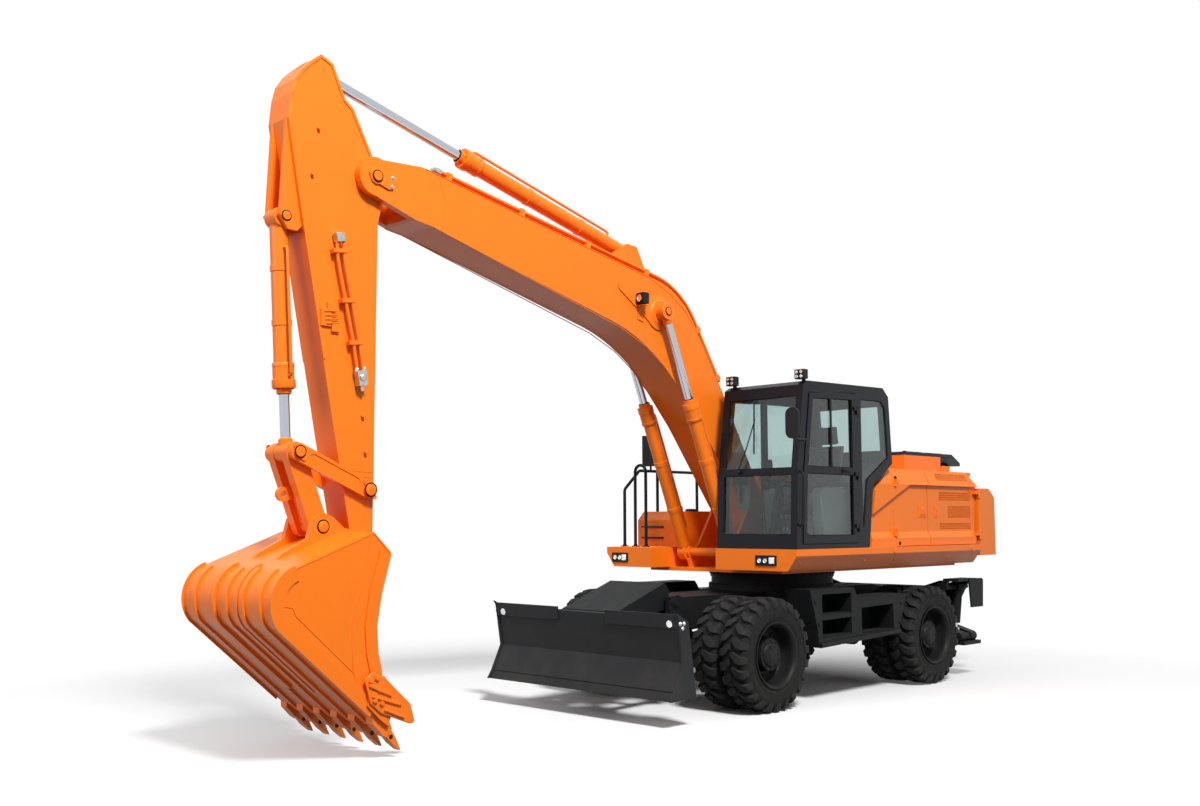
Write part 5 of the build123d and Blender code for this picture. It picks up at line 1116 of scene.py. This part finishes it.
CAB_LEFT, CAB_RIGHT = 1.232, 0.245
QUARTER = ((0.070, 3.030), (-0.320, 3.030), (-0.390, 2.960), (-0.430, 2.440), (-0.030, 2.200),
           (0.045, 1.720), (0.070, 1.700))
RIGHT_PANES = (((1.080, 1.640), (1.055, 2.260), (0.950, 3.000), (0.480, 3.020), (0.480, 1.640)),
               ((0.410, 1.700), (0.410, 3.020), (-0.320, 3.030), (-0.390, 2.440), (-0.030, 2.180),
                (0.050, 1.700)))
DOOR_PANES = (((1.020, 2.310), (0.925, 2.985), (0.245, 3.010), (0.245, 2.310)),
              ((1.060, 1.660), (1.030, 2.240), (0.245, 2.240), (0.245, 1.630), (1.000, 1.630)))
runs = [side_line(QUARTER, CAB_LEFT - 0.010)]
runs += [side_line(points, CAB_RIGHT + 0.012) for points in RIGHT_PANES]
for low, high in ((2.290, 3.000), (1.640, 2.225)):
    corners = ((CAB_RIGHT + 0.075, low), (CAB_LEFT - 0.075, low),
               (CAB_LEFT - 0.075, high), (CAB_RIGHT + 0.075, high))
    runs.append([(windscreen_x(z) - 0.012, y, z) for y, z in corners])
tube("window_rubbers", runs, 0.009, "upper", SEAL_BLACK, closed=True)
tube("door_rubbers", [side_line(points, CAB_LEFT - 0.004) for points in DOOR_PANES], 0.009, "cab_door",
     SEAL_BLACK,
     closed=True)

# %% [markdown]
# The door has a sliding upper pane with an upright frame bar, a latch handle set in its middle
# rail, and a grab rail stands beside the door's front edge.

# %% Door fittings and wiper
work = bmesh.new()
brick(work, (0.600, CAB_LEFT - 0.010, 2.312), (0.622, CAB_LEFT + 0.004, 2.998))
brick(work, (0.300, CAB_LEFT + 0.008, 2.252), (0.440, CAB_LEFT + 0.016, 2.300))
rod(work, (0.315, CAB_LEFT + 0.030, 2.276), (0.425, CAB_LEFT + 0.030, 2.276), 0.008)
for x in (0.318, 0.422):
    rod(work, (x, CAB_LEFT + 0.012, 2.276), (x, CAB_LEFT + 0.030, 2.276), 0.007)
lathe(work, stand((0.350, CAB_LEFT + 0.015, 2.276), (0, 1, 0)), ((0.014, 0), (0.014, 0.004), (0, 0.004)),
      20)
keep("door_fittings", work, "cab_door", BLACK_PLASTIC, 0.002)
tube("cab_grab_rail", [[(1.160, CAB_LEFT - 0.004, 1.720), (1.168, CAB_LEFT + 0.040, 1.740),
                        (1.160, CAB_LEFT + 0.045, 1.800),
                        (1.150, CAB_LEFT + 0.045, 2.180), (1.150, CAB_LEFT + 0.040, 2.240),
                        (1.146, CAB_LEFT - 0.004, 2.260)]],
     0.011, "upper", BLACK_PLASTIC, kind="NURBS")
work = bmesh.new()
foot = Vector((windscreen_x(2.262) + 0.006, 0.520, 2.262))
hinge = Vector((windscreen_x(2.500) + 0.030, 0.610, 2.500))
tip = Vector((windscreen_x(2.800) + 0.016, 0.680, 2.800))
rod(work, foot - Vector((0.004, 0, 0)), foot + Vector((0.030, 0, 0)), 0.020)
rod(work, foot + Vector((0.026, 0, 0)), hinge, 0.007, 8)
rod(work, hinge, tip, 0.006, 8)
rod(work, (windscreen_x(2.440) + 0.003, 0.690, 2.440), (windscreen_x(2.980) + 0.003, 0.640, 2.980), 0.008,
    8)
keep("wiper", work, "upper", BLACK_PLASTIC)

# %% [markdown]
# The roof lamps are small square units with a finned back, and each platform has a long unit in
# its front edge. The mirror glass is bright metal behind a rounded edge.

# %% Cab lamps and mirrors
for index, y in enumerate((CAB_RIGHT + 0.060, CAB_LEFT - 0.060)):
    places = [(1.0552, y + dy, 3.215 + dz) for dy in (-0.027, 0.027) for dz in (-0.022, 0.022)]
    lamp_faces("roof_lamp_%d" % (index + 1), "upper", places, (1, 0, 0), 0.019)
work = bmesh.new()
for y in (CAB_RIGHT + 0.060, CAB_LEFT - 0.060):
    for index in range(6):
        brick(work, (0.972, y - 0.052, 3.175 + index * 0.015), (0.986, y + 0.052, 3.181 + index * 0.015))
keep("roof_lamp_fins", work, "upper", BLACK_PLASTIC)
for label, front, low, high in (("left", 1.262, 0.760, 1.010), ("right", 1.318, -1.160, -0.930)):
    lamp_faces("platform_lamp_" + label, "upper",
               [(front, low + 0.052, 1.390), (front, low + 0.122, 1.390)], (1, 0, 0), 0.029)
    work = bmesh.new()
    brick(work, (front - 0.001, high - 0.084, 1.358), (front + 0.006, high - 0.020, 1.422))
    keep("platform_reflector_" + label, work, "upper", LAMP_DISH, 0.004)
work = bmesh.new()
loop = [work.verts.new((1.3085, 1.285 + y, 2.710 + z + (0.074 if z > 0 else -0.074)))
        for y, z in circle(32, 0.062)]
back = [work.verts.new((1.3125, v.co.y, v.co.z)) for v in loop]
work.faces.new(loop)
work.faces.new(back[::-1])
join_loops(work, loop, back)
brick(work, (0.6535, -1.280, 2.412), (0.6575, -1.110, 2.738))
keep("mirror_glass", work, "upper", CHROME, 0.001)

# %% [markdown]
# ## Cab interior
# Behind tinted glass the inside still reads: a sprung seat with crowned cushions, two consoles
# with levers, a steering column with its wheel, and a display. A cushion starts as a box that is
# divided, its middle pushed out and its edges drawn in, and a subdivision surface rounds it.

# %% Seat cushions
SEAT_Y = (CAB_RIGHT + CAB_LEFT) / 2
CROWN = 0.28             # how far a cushion's middle swells, as a share of its half thickness


def cushion(name, low, high, lean, fill):
    """A crowned cushion between two corners, leaned back about its lower front edge."""
    work = bmesh.new()
    low, high = Vector(low), Vector(high)
    middle, half = (low + high) / 2, (high - low) / 2
    bmesh.ops.create_cube(work, size=2.0)
    bmesh.ops.subdivide_edges(work, edges=work.edges, cuts=5, use_grid_fill=True)
    thin = min(range(3), key=lambda axis: half[axis])
    for vert in work.verts:
        flat = [vert.co[axis] for axis in range(3) if axis != thin]
        swell = (1 - flat[0] ** 2) * (1 - flat[1] ** 2)
        pinch = (1 - 0.05 * (1 - abs(flat[0])) * abs(flat[1]) ** 3
                 - 0.05 * (1 - abs(flat[1])) * abs(flat[0]) ** 3)
        channel = 0.12 * math.exp(-((abs(flat[1]) - 0.52) / 0.07) ** 2)
        place = Vector(vert.co)
        for axis in range(3):
            if axis == thin:
                place[axis] *= half[axis] * (0.72 + CROWN * swell - channel * (1 - flat[0] ** 8))
            else:
                place[axis] *= half[axis] * pinch
        vert.co = place
    turn = Matrix.Rotation(-lean, 4, "Y")
    bmesh.ops.transform(work, matrix=Matrix.Translation(middle) @ turn, verts=work.verts)
    piece = keep(name, work, "upper", SEAT_CLOTH, angle=60)
    smooth = piece.modifiers.new("smooth", "SUBSURF")
    smooth.levels = smooth.render_levels = 1
    return piece


# (name, low corner, high corner, lean in degrees, fill), with y from the seat's middle
CUSHIONS = (("seat_cushion", (0.130, -0.240, 1.830), (0.630, 0.240, 1.950), 3, 0.8),
            ("seat_back", (0.015, -0.230, 1.960), (0.145, 0.230, 2.550), -14, 0.8),
            ("head_rest", (-0.070, -0.120, 2.580), (0.020, 0.120, 2.770), -8, 0.8),
            ("left_arm_rest", (0.100, 0.262, 2.128), (0.480, 0.342, 2.176), 0, 0.9),
            ("right_arm_rest", (0.100, -0.342, 2.128), (0.480, -0.262, 2.176), 0, 0.9))
for name, low, high, lean, fill in CUSHIONS:
    cushion(name, *((x, SEAT_Y + y, z) for x, y, z in (low, high)), math.radians(lean), fill)

# %% [markdown]
# The hard parts inside are moulded and folded pieces: floor, seat stand, consoles, levers with
# gaiters, and the column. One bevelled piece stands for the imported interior.

# %% Cab hard parts
work = bmesh.new()
brick(work, (0.060, CAB_RIGHT + 0.050, 1.560), (1.120, CAB_LEFT - 0.050, 1.600))
brick(work, (0.140, SEAT_Y - 0.190, 1.600), (0.540, SEAT_Y + 0.190, 1.700))
brick(work, (0.180, SEAT_Y - 0.170, 1.700), (0.500, SEAT_Y + 0.170, 1.800))
brick(work, (0.120, SEAT_Y - 0.225, 1.800), (0.600, SEAT_Y + 0.225, 1.834))
plate(work, ((0.060, 1.930), (0.110, 1.940), (-0.005, 2.560), (-0.050, 2.560)),
      SEAT_Y - 0.200, SEAT_Y + 0.200)
for side in BOTH:
    side_plate(work, ((0.080, 1.600), (0.600, 1.600), (0.640, 2.040), (0.600, 2.100), (0.520, 2.120),
                      (0.080, 2.120)), side, 0.252, 0.368, SEAT_Y)
    side_plate(work, ((0.760, 1.602), (0.860, 1.602), (0.900, 1.700), (0.880, 1.712)),
               side, 0.070, 0.150, SEAT_Y)
brick(work, (0.900, CAB_RIGHT + 0.060, 1.900), (0.960, CAB_RIGHT + 0.200, 2.130))
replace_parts(keep("cab_consoles", work, "upper", TRIM_GREY, 0.012), "cab_interior")
work = bmesh.new()
for side in BOTH:
    x, y = 0.560, SEAT_Y + side * 0.310
    lathe(work, stand((x, y, 2.110)), ((0.045, 0), (0.040, 0.02), (0.046, 0.03), (0.034, 0.05),
                                       (0.038, 0.06), (0.020, 0.09),
                                       (0.010, 0.10), (0.010, 0.17), (0.024, 0.19), (0.028, 0.25),
                                       (0.020, 0.30), (0, 0.31)), 20)
    x, y = 0.940, SEAT_Y + side * 0.120
    rod(work, (x - 0.060, y, 1.640), (x, y, 2.000), 0.010, 10)
    lathe(work, stand((x, y, 2.000)), ((0.018, 0), (0.024, 0.02), (0.020, 0.05), (0, 0.06)), 16)
rod(work, (0.960, SEAT_Y, 1.600), (0.815, SEAT_Y, 2.140), 0.038, 20)
wheel_at = stand((0.800, SEAT_Y, 2.190), (-0.262, 0, 0.965))
grip = list(circle(10, 0.014))
lathe(work, wheel_at, [(0.185 + out, up) for out, up in grip + grip[:1]], 40)
lathe(work, wheel_at, ((0.045, -0.050), (0.050, -0.010), (0.040, 0.004), (0, 0.006)), 24)
for index in range(3):
    turn = math.tau * index / 3
    rod(work, wheel_at @ Vector((0.03 * math.cos(turn), 0.03 * math.sin(turn), -0.008)),
        wheel_at @ Vector((0.184 * math.cos(turn), 0.184 * math.sin(turn), 0.0)), 0.010, 10)
brick(work, (1.000, CAB_RIGHT + 0.060, 2.140), (1.030, CAB_RIGHT + 0.240, 2.280))
rod(work, (1.010, CAB_RIGHT + 0.150, 1.950), (1.012, CAB_RIGHT + 0.150, 2.150), 0.014, 12)
keep("cab_controls", work, "upper", BLACK_PLASTIC, 0.002)

# %% [markdown]
# ## Engine doors
# Air goes in through grilles of perforated plate, painted with the door. A grille is a lattice of
# thin bars set in the door's shallow pocket, over a black sheet of painted shade that stands for
# the dark space behind the holes. Each door has a push latch in a plate, and the front door has
# two black studs.

# %% Grilles
RECESS_FACE = 1.174      # the doors' recessed face
# (x front, x rear, z low, z high)
GRILLES = ((-1.562, -2.265, 1.672, 1.745), (-1.747, -2.265, 1.803, 1.940), (-1.553, -2.265, 1.997, 2.094))


def lattice(work, shade_sheet, along, up, origin, length, height, out):
    """A grille of crossing bars from a corner: along it, up it, with a black sheet of painted shade behind.
    """
    step, bar = 0.021, 0.0042
    corners = [origin + along * a + up * b for a, b in ((0, 0), (length, 0), (length, height), (0, height))]
    # The black sheet behind the bars is painted shade: it stands for the dark space behind the grille.
    shade_sheet.faces.new([shade_sheet.verts.new(c - out * 0.0065) for c in corners])
    shade_sheet.faces.new([shade_sheet.verts.new(c - out * 0.0070) for c in corners[::-1]])
    for count, run, across, span in ((int(length / step), along, up, height),
                                     (int(height / step), up, along, length)):
        reach = (length if run is along else height) / count
        for index in range(count + 1):
            start = origin + run * (reach * index)
            ring = []
            for end in (start, start + across * span):
                ring.append([work.verts.new(end + run * (s * bar) + out * d)
                             for s, d in ((-1, -0.006), (-0.6, -0.0015), (0.6, -0.0015), (1, -0.006))])
            join_loops(work, *ring)
            work.faces.new(ring[0][::-1])
            work.faces.new(ring[1])


def panel_y(z):
    """How far out the doors' upper panel stands: it leans in by 101 mm over 235 mm."""
    return 1.209 - (z - 2.165) * 101 / 235


bars, rear_shades = bmesh.new(), bmesh.new()
for x_front, x_rear, low, high in GRILLES:
    lattice(bars, rear_shades, Vector((-1, 0, 0)), Vector((0, 0, 1)), Vector((x_front, RECESS_FACE, low)),
            x_front - x_rear, high - low, Vector((0, 1, 0)))
slope_up = Vector((0, -101, 235)).normalized()
slope_out = Vector((0, 235, 101)).normalized()
lattice(bars, rear_shades, Vector((-1, 0, 0)), slope_up, Vector((-1.500, panel_y(2.222), 2.222)), 0.700,
        0.078 / slope_up.z, slope_out)
keep("door_grilles", bars, "engine_door_rear", ORANGE)
# The grilles' black backs are painted shade for the dark space behind the holes.
keep("rear_door_grille_shade", rear_shades, "engine_door_rear", BLACK_PLASTIC)

# %% [markdown]
# Latches, studs and lifting lugs are small turned and cut pieces. They sit where a hand or a
# hook would look for them: beside the seam between the doors, and along the lower edge.

# %% Latches, studs and lugs
for name, body, x_front, x_rear in (("front_door_latch", "engine_door_front", -1.107, -1.275),
                                    ("rear_door_latch", "engine_door_rear", -1.430, -1.530)):
    work = bmesh.new()
    middle = (x_front + x_rear) / 2
    brick(work, (x_rear + 0.008, RECESS_FACE + 0.004, 1.819),
          (x_front - 0.008, RECESS_FACE + 0.0068, 1.937))
    lathe(work, stand((middle, RECESS_FACE + 0.013, 1.895), (0, 1, 0)),
          ((0.012, 0), (0.012, 0.004), (0.009, 0.006), (0, 0.006)), 20)
    for x in (x_rear + 0.016, x_front - 0.016):
        for z in (1.826, 1.930):
            lathe(work, stand((x, RECESS_FACE + 0.006, z), (0, 1, 0)),
                  ((0.006, 0), (0.005, 0.003), (0, 0.003)), 14)
    keep(name, work, body, ORANGE, 0.001)
work = bmesh.new()
for body_x, z in ((-0.640, 2.231), (-0.660, 1.534)):
    y = RECESS_FACE + 0.029 if z < 2 else panel_y(z)
    lathe(work, stand((body_x, y, z), (0, 1, 0)),
          ((0.020, -0.004), (0.020, 0.008), (0.012, 0.014), (0, 0.014)), 24)
keep("door_studs", work, "engine_door_front", SEAL_BLACK)
work = bmesh.new()
for x in (-0.503, -2.139):
    lathe(work, stand((x, 1.249, 1.455), (0, 1, 0)),
          ((0.026, -0.001), (0.026, 0.008), (0.012, 0.010), (0.012, 0.002), (0, 0.002)), 28)
for x in (1.120, 0.560, 0.0, -0.560, -1.120, -1.680, -2.240):
    lathe(work, stand((x, 1.1948, 1.3616), (0, 0.797, -0.604)),
          ((0.014, -0.001), (0.014, 0.004), (0, 0.005)), 20)
keep("deck_fittings", work, "upper", ORANGE)
work = bmesh.new()
for low, high in ((1.740, 1.800), (1.950, 2.010)):
    for x in (-1.190, -1.390):
        brick(work, (x - 0.030, -1.188, low), (x + 0.030, -1.1738, high))
        rod(work, (x, -1.1735, (low + high) / 2), (x, -1.192, (low + high) / 2), 0.011)
keep("pump_door_fittings", work, "pump_door", BLACK_PLASTIC, 0.002)
right_bars, pump_shades = bmesh.new(), bmesh.new()
for low in (1.720, 1.900):
    lattice(right_bars, pump_shades, Vector((-1, 0, 0)), Vector((0, 0, 1)), Vector((-1.620, -1.1815, low)),
            0.560, 0.120, Vector((0, -1, 0)))
keep("pump_door_grilles", right_bars, "pump_door", ORANGE)
# The grilles' black backs are painted shade for the dark space behind the holes.
keep("pump_door_grille_shade", pump_shades, "pump_door", BLACK_PLASTIC)

# %% [markdown]
# ## Hood and tail
# The hood has a pair of rubber latches behind and a pair of round studs in front, and a
# pale reflector strip lies along its front edge. The counterweight has a round lifting fitting
# and two bolts on each side, and a lamp at each rear corner.

# %% Hood latches, reflector and tail fittings
HOOD_TOP = 2.575
work = bmesh.new()
for y in (-0.560, 0.560):
    brick(work, (-2.185, y - 0.030, HOOD_TOP), (-2.095, y + 0.030, HOOD_TOP + 0.014))
    rod(work, (-2.160, y, HOOD_TOP + 0.013), (-2.160, y, HOOD_TOP + 0.022), 0.018)
for side in BOTH:
    rod(work, (-1.640, side * 0.700, HOOD_TOP), (-1.640, side * 0.700, HOOD_TOP + 0.010), 0.022)
keep("hood_latches", work, "hood_lid", SEAL_BLACK, 0.003)
work = bmesh.new()
plate(work, ((-1.578, 2.5405), (-1.598, 2.569), (-1.5995, 2.5705), (-1.5765, 2.5415)), -0.330, 0.330)
keep("hood_reflector", work, "hood_lid", LAMP_DISH)
work = bmesh.new()
for side in BOTH:
    lathe(work, stand((-2.860, side * 0.520, 2.426)),
          ((0.060, 0), (0.060, 0.010), (0.034, 0.012), (0.030, 0.004), (0, 0.004)), 28)
    for x in (-2.500, -2.700):
        bolt(work, (x, side * 0.600, 2.430), (0, 0, 1), 0.022)
keep("counterweight_fittings", work, "upper", ORANGE)
work = bmesh.new()
lenses = bmesh.new()
for side in BOTH:
    turn = math.radians(180 - side * 17)
    out = Vector((math.cos(turn), math.sin(turn), 0))
    flat = Vector((-out.y, out.x, 0))
    middle = out * 3.030 + Vector((0, 0, 1.620))
    for holder, half_wide, half_high, near, far in ((work, 0.085, 0.050, -0.030, 0.0025),
                                                    (lenses, 0.070, 0.036, 0.0, 0.0065)):
        loop = [middle + flat * (u * half_wide) + Vector((0, 0, v * half_high))
                for u, v in ((-1, -1), (1, -1), (1, 1), (-1, 1))]
        back = [holder.verts.new(point + out * near) for point in loop]
        front = [holder.verts.new(point + out * far) for point in loop]
        holder.faces.new(back[::-1])
        holder.faces.new(front)
        join_loops(holder, back, front)
keep("tail_lamps", work, "upper", BLACK_PLASTIC, 0.002)
TAIL_RED = moulded("tail_red", (0.35, 0.010, 0.008, 1), 0.25, 120.0)
keep("tail_lenses", lenses, "upper", TAIL_RED, 0.001)

# %% [markdown]
# ## Platform, handrails and tank
# The right platform has a tread plate, the rails stand on small bolted feet, and the tank has a
# filler cap, a handle and two black steps on its front.

# %% Platform fittings
work = bmesh.new()
for x, y in ((1.150, -0.966), (1.150, -0.809), (1.080, -1.195)):
    lathe(work, stand((x, y, 1.500)), ((0.042, 0), (0.042, 0.008), (0.022, 0.012), (0.020, 0.030),
                                       (0.018, 0.030)), 24)
    for dx, dy in circle(4, 0.031, 0.5):
        bolt(work, (x + dx, y + dy, 1.508), (0, 0, 1), 0.006)
keep("rail_feet", work, "upper", BLUE_BLACK)
work = bmesh.new()
for row in range(11):
    for column in range(16):
        x, y = 0.900 + 0.026 * column, -1.180 + 0.050 * row
        spin = math.radians(45 if (row + column) % 2 else -45)
        ahead = Vector((math.cos(spin), math.sin(spin), 0))
        aside = Vector((-math.sin(spin), math.cos(spin), 0))
        low, tops = ([work.verts.new(Vector((x, y, z)) + ahead * (a * long) + aside * (b * wide))
                      for a, b in ((-1, 0), (0, -1), (1, 0), (0, 1))]
                     for z, long, wide in ((1.4995, 0.011, 0.004), (1.5030, 0.007, 0.0022)))
        work.faces.new(tops)
        join_loops(work, low, tops)
keep("platform_tread", work, "upper", ORANGE)
work = bmesh.new()
STEP_DEPTH = 0.040
for z in (1.600, 1.720):
    brick(work, (0.854, -1.120, z - 0.012), (0.854 + STEP_DEPTH, -0.820, z + 0.004))
lathe(work, stand((0.300, -0.900, 1.885)),
      ((0.062, 0), (0.062, 0.022), (0.054, 0.030), (0.020, 0.032), (0, 0.032)), 32)
for (x, y), (out_x, out_y) in zip(circle(8, 0.050), circle(8, 0.067)):
    rod(work, (0.300 + x, -0.900 + y, 1.900), (0.300 + out_x, -0.900 + out_y, 1.900), 0.006, 8)
keep("tank_fittings", work, "upper", BLACK_PLASTIC, 0.002)
tube("tank_handle", [[(0.800, -0.700, 1.862), (0.822, -0.700, 1.880), (0.822, -0.700, 1.900),
                      (0.760, -0.700, 1.946), (0.700, -0.700, 1.946), (0.680, -0.700, 1.920),
                      (0.680, -0.700, 1.886)]], 0.010, "upper", BLUE_BLACK, kind="NURBS")

# %% [markdown]
# ## Swing ring and chassis
# The ring is bolted down all round: one row of bolts stands on its lower flange and a second row
# goes into the rim of the turning flange above. The boarding steps have ribbed treads.

# %% Ring bolts and step treads
low_row, high_row = bmesh.new(), bmesh.new()
for index in range(48):
    turn = math.tau * index / 48
    ahead = Vector((math.cos(turn), math.sin(turn), 0))
    bolt(low_row, ahead * 0.6755 + Vector((0, 0, 1.100)), (0, 0, 1), 0.0095)
    bolt(high_row, ahead * 0.6710 + Vector((0, 0, 1.215)), ahead, 0.0105)
lathe(high_row, stand((0, 0, 0)), ((0.662, 1.1788), (0.6702, 1.1788), (0.6712, 1.1800), (0.6712, 1.2485),
                                   (0.6702, 1.2498),
                                   (0.662, 1.2498)), 96)
keep("ring_bolts_low", low_row, "undercarriage", GREY)
keep("ring_bolts_high", high_row, "upper", GREY)
work = bmesh.new()
for side in BOTH:
    for x_low, x_high, z in ((0.285, 0.775, 0.850), (0.290, 0.770, 0.640), (-0.505, 0.085, 0.640)):
        for row in range(4):
            y = side * (1.195 - 0.040 * row)
            brick(work, (x_low, y - 0.004, z + 0.001), (x_high, y + 0.004, z + 0.012))
    for x, z in ((0.900, 0.980), (0.840, 0.760), (-0.660, 0.900), (-0.620, 0.700)):
        bolt(work, (x, side * 1.205, z), (0, side, 0), 0.014)
keep("step_treads", work, "undercarriage", GREY, 0.001)
work = bmesh.new()
for side in BOTH:
    for x in (0.180, 0.300):
        for z in (0.780, 0.900, 1.000):
            bolt(work, (x - 0.700, side * 0.3205, z), (0, side, 0), 0.013)
    for (front_x, front_z), (rear_x, rear_z) in zip(circle(10, 0.128), circle(10, 0.142)):
        bolt(work, (1.578 + front_x, side * 0.190, 0.530 + front_z), (0, side, 0), 0.011)
        bolt(work, (-1.276 + rear_x, side * 0.200, 0.530 + rear_z), (0, side, 0), 0.012)
keep("chassis_bolts", work, "undercarriage", GREY)

# %% [markdown]
# ## Blade
# The mouldboard is two long plates that meet in a crease, so that earth rolls forward off it. A
# cutting edge is welded along the foot, end plates and upper guards stand at the sides, and a
# round reflector marks each end. The steel brackets behind it carry the links and cylinders.

# %% Blade
BLADE_HALF = 1.190
BOARD = ((3.004, 0.252), (2.966, 0.310), (2.846, 0.560), (2.909, 0.940), (2.884, 0.950), (2.816, 0.560),
         (2.936, 0.300), (2.975, 0.240))
EDGE = ((3.012, 0.240), (2.972, 0.322), (2.962, 0.316), (2.990, 0.240))
work = bmesh.new()
plate(work, BOARD, -BLADE_HALF, BLADE_HALF)
plate(work, EDGE, -BLADE_HALF + 0.002, BLADE_HALF - 0.002)
for side in BOTH:
    side_plate(work, ((3.028, 0.240), (2.972, 0.330), (2.862, 0.560), (2.925, 0.950), (2.956, 0.998),
                      (2.790, 0.905), (2.690, 0.250)), side, BLADE_HALF, BLADE_HALF + 0.025)
    side_plate(work, ((2.882, 0.850), (2.912, 0.850), (2.925, 0.975), (2.900, 0.975)),
               side, 0.320, BLADE_HALF + 0.001)
    side_plate(work, ((2.850, 0.800), (2.822, 0.600), (2.822, 0.530), (2.900, 0.350), (2.860, 0.330),
                      (2.660, 0.380), (2.650, 0.470), (2.700, 0.600), (2.660, 0.860), (2.690, 0.950),
                      (2.860, 0.930)), side, 0.378, 0.418)
    for inner, outer in ((0.125, 0.147), (0.233, 0.255)):
        side_plate(work, ((2.836, 0.690), (2.822, 0.560), (2.870, 0.420), (2.720, 0.505), (2.650, 0.530),
                          (2.650, 0.590), (2.720, 0.615)), side, inner, outer)
    for x, z in ((2.720, 0.445), (2.720, 0.895)):
        rod(work, (x, side * 0.295, z), (x, side * 0.390, z), 0.028, 24)
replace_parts(keep("blade_plates", work, "blade", BLADE_GREY, 0.004), "blade")
tube("blade_welds", [[(2.9745, -1.186, 0.324), (2.9745, 1.186, 0.324)]], 0.006, "blade", BLADE_GREY)
work = bmesh.new()
for side in BOTH:
    lathe(work, stand((2.905, side * 1.105, 0.890), (0.985, 0, -0.17)),
          ((0.033, -0.004), (0.033, 0.014), (0.029, 0.018), (0, 0.018)), 28)
keep("blade_reflectors", work, "blade", LAMP_DISH)
work = bmesh.new()
for side in BOTH:
    for dx, dz in ((-0.030, 0.075), (0.020, 0.075), (-0.010, 0.035)):
        bolt(work, (2.880 + dx, side * (BLADE_HALF + 0.0255), 0.820 + dz), (0, side, 0), 0.013)
keep("blade_bolts", work, "blade", ZINC)
work = bmesh.new()
for side in BOTH:
    for x, z in ((2.120, 0.560), (2.120, 1.010)):
        lathe(work, stand((x, side * 0.4515, z), (0, side, 0)),
              ((0.048, -0.002), (0.048, 0.006), (0.030, 0.010), (0.030, 0.018), (0, 0.018)), 28)
        for turn in (math.radians(40), math.radians(220)):
            bolt(work, (x + 0.062 * math.cos(turn), side * 0.450, z + 0.062 * math.sin(turn)),
                 (0, side, 0), 0.010)
keep("blade_pivot_caps", work, "undercarriage", GREY)
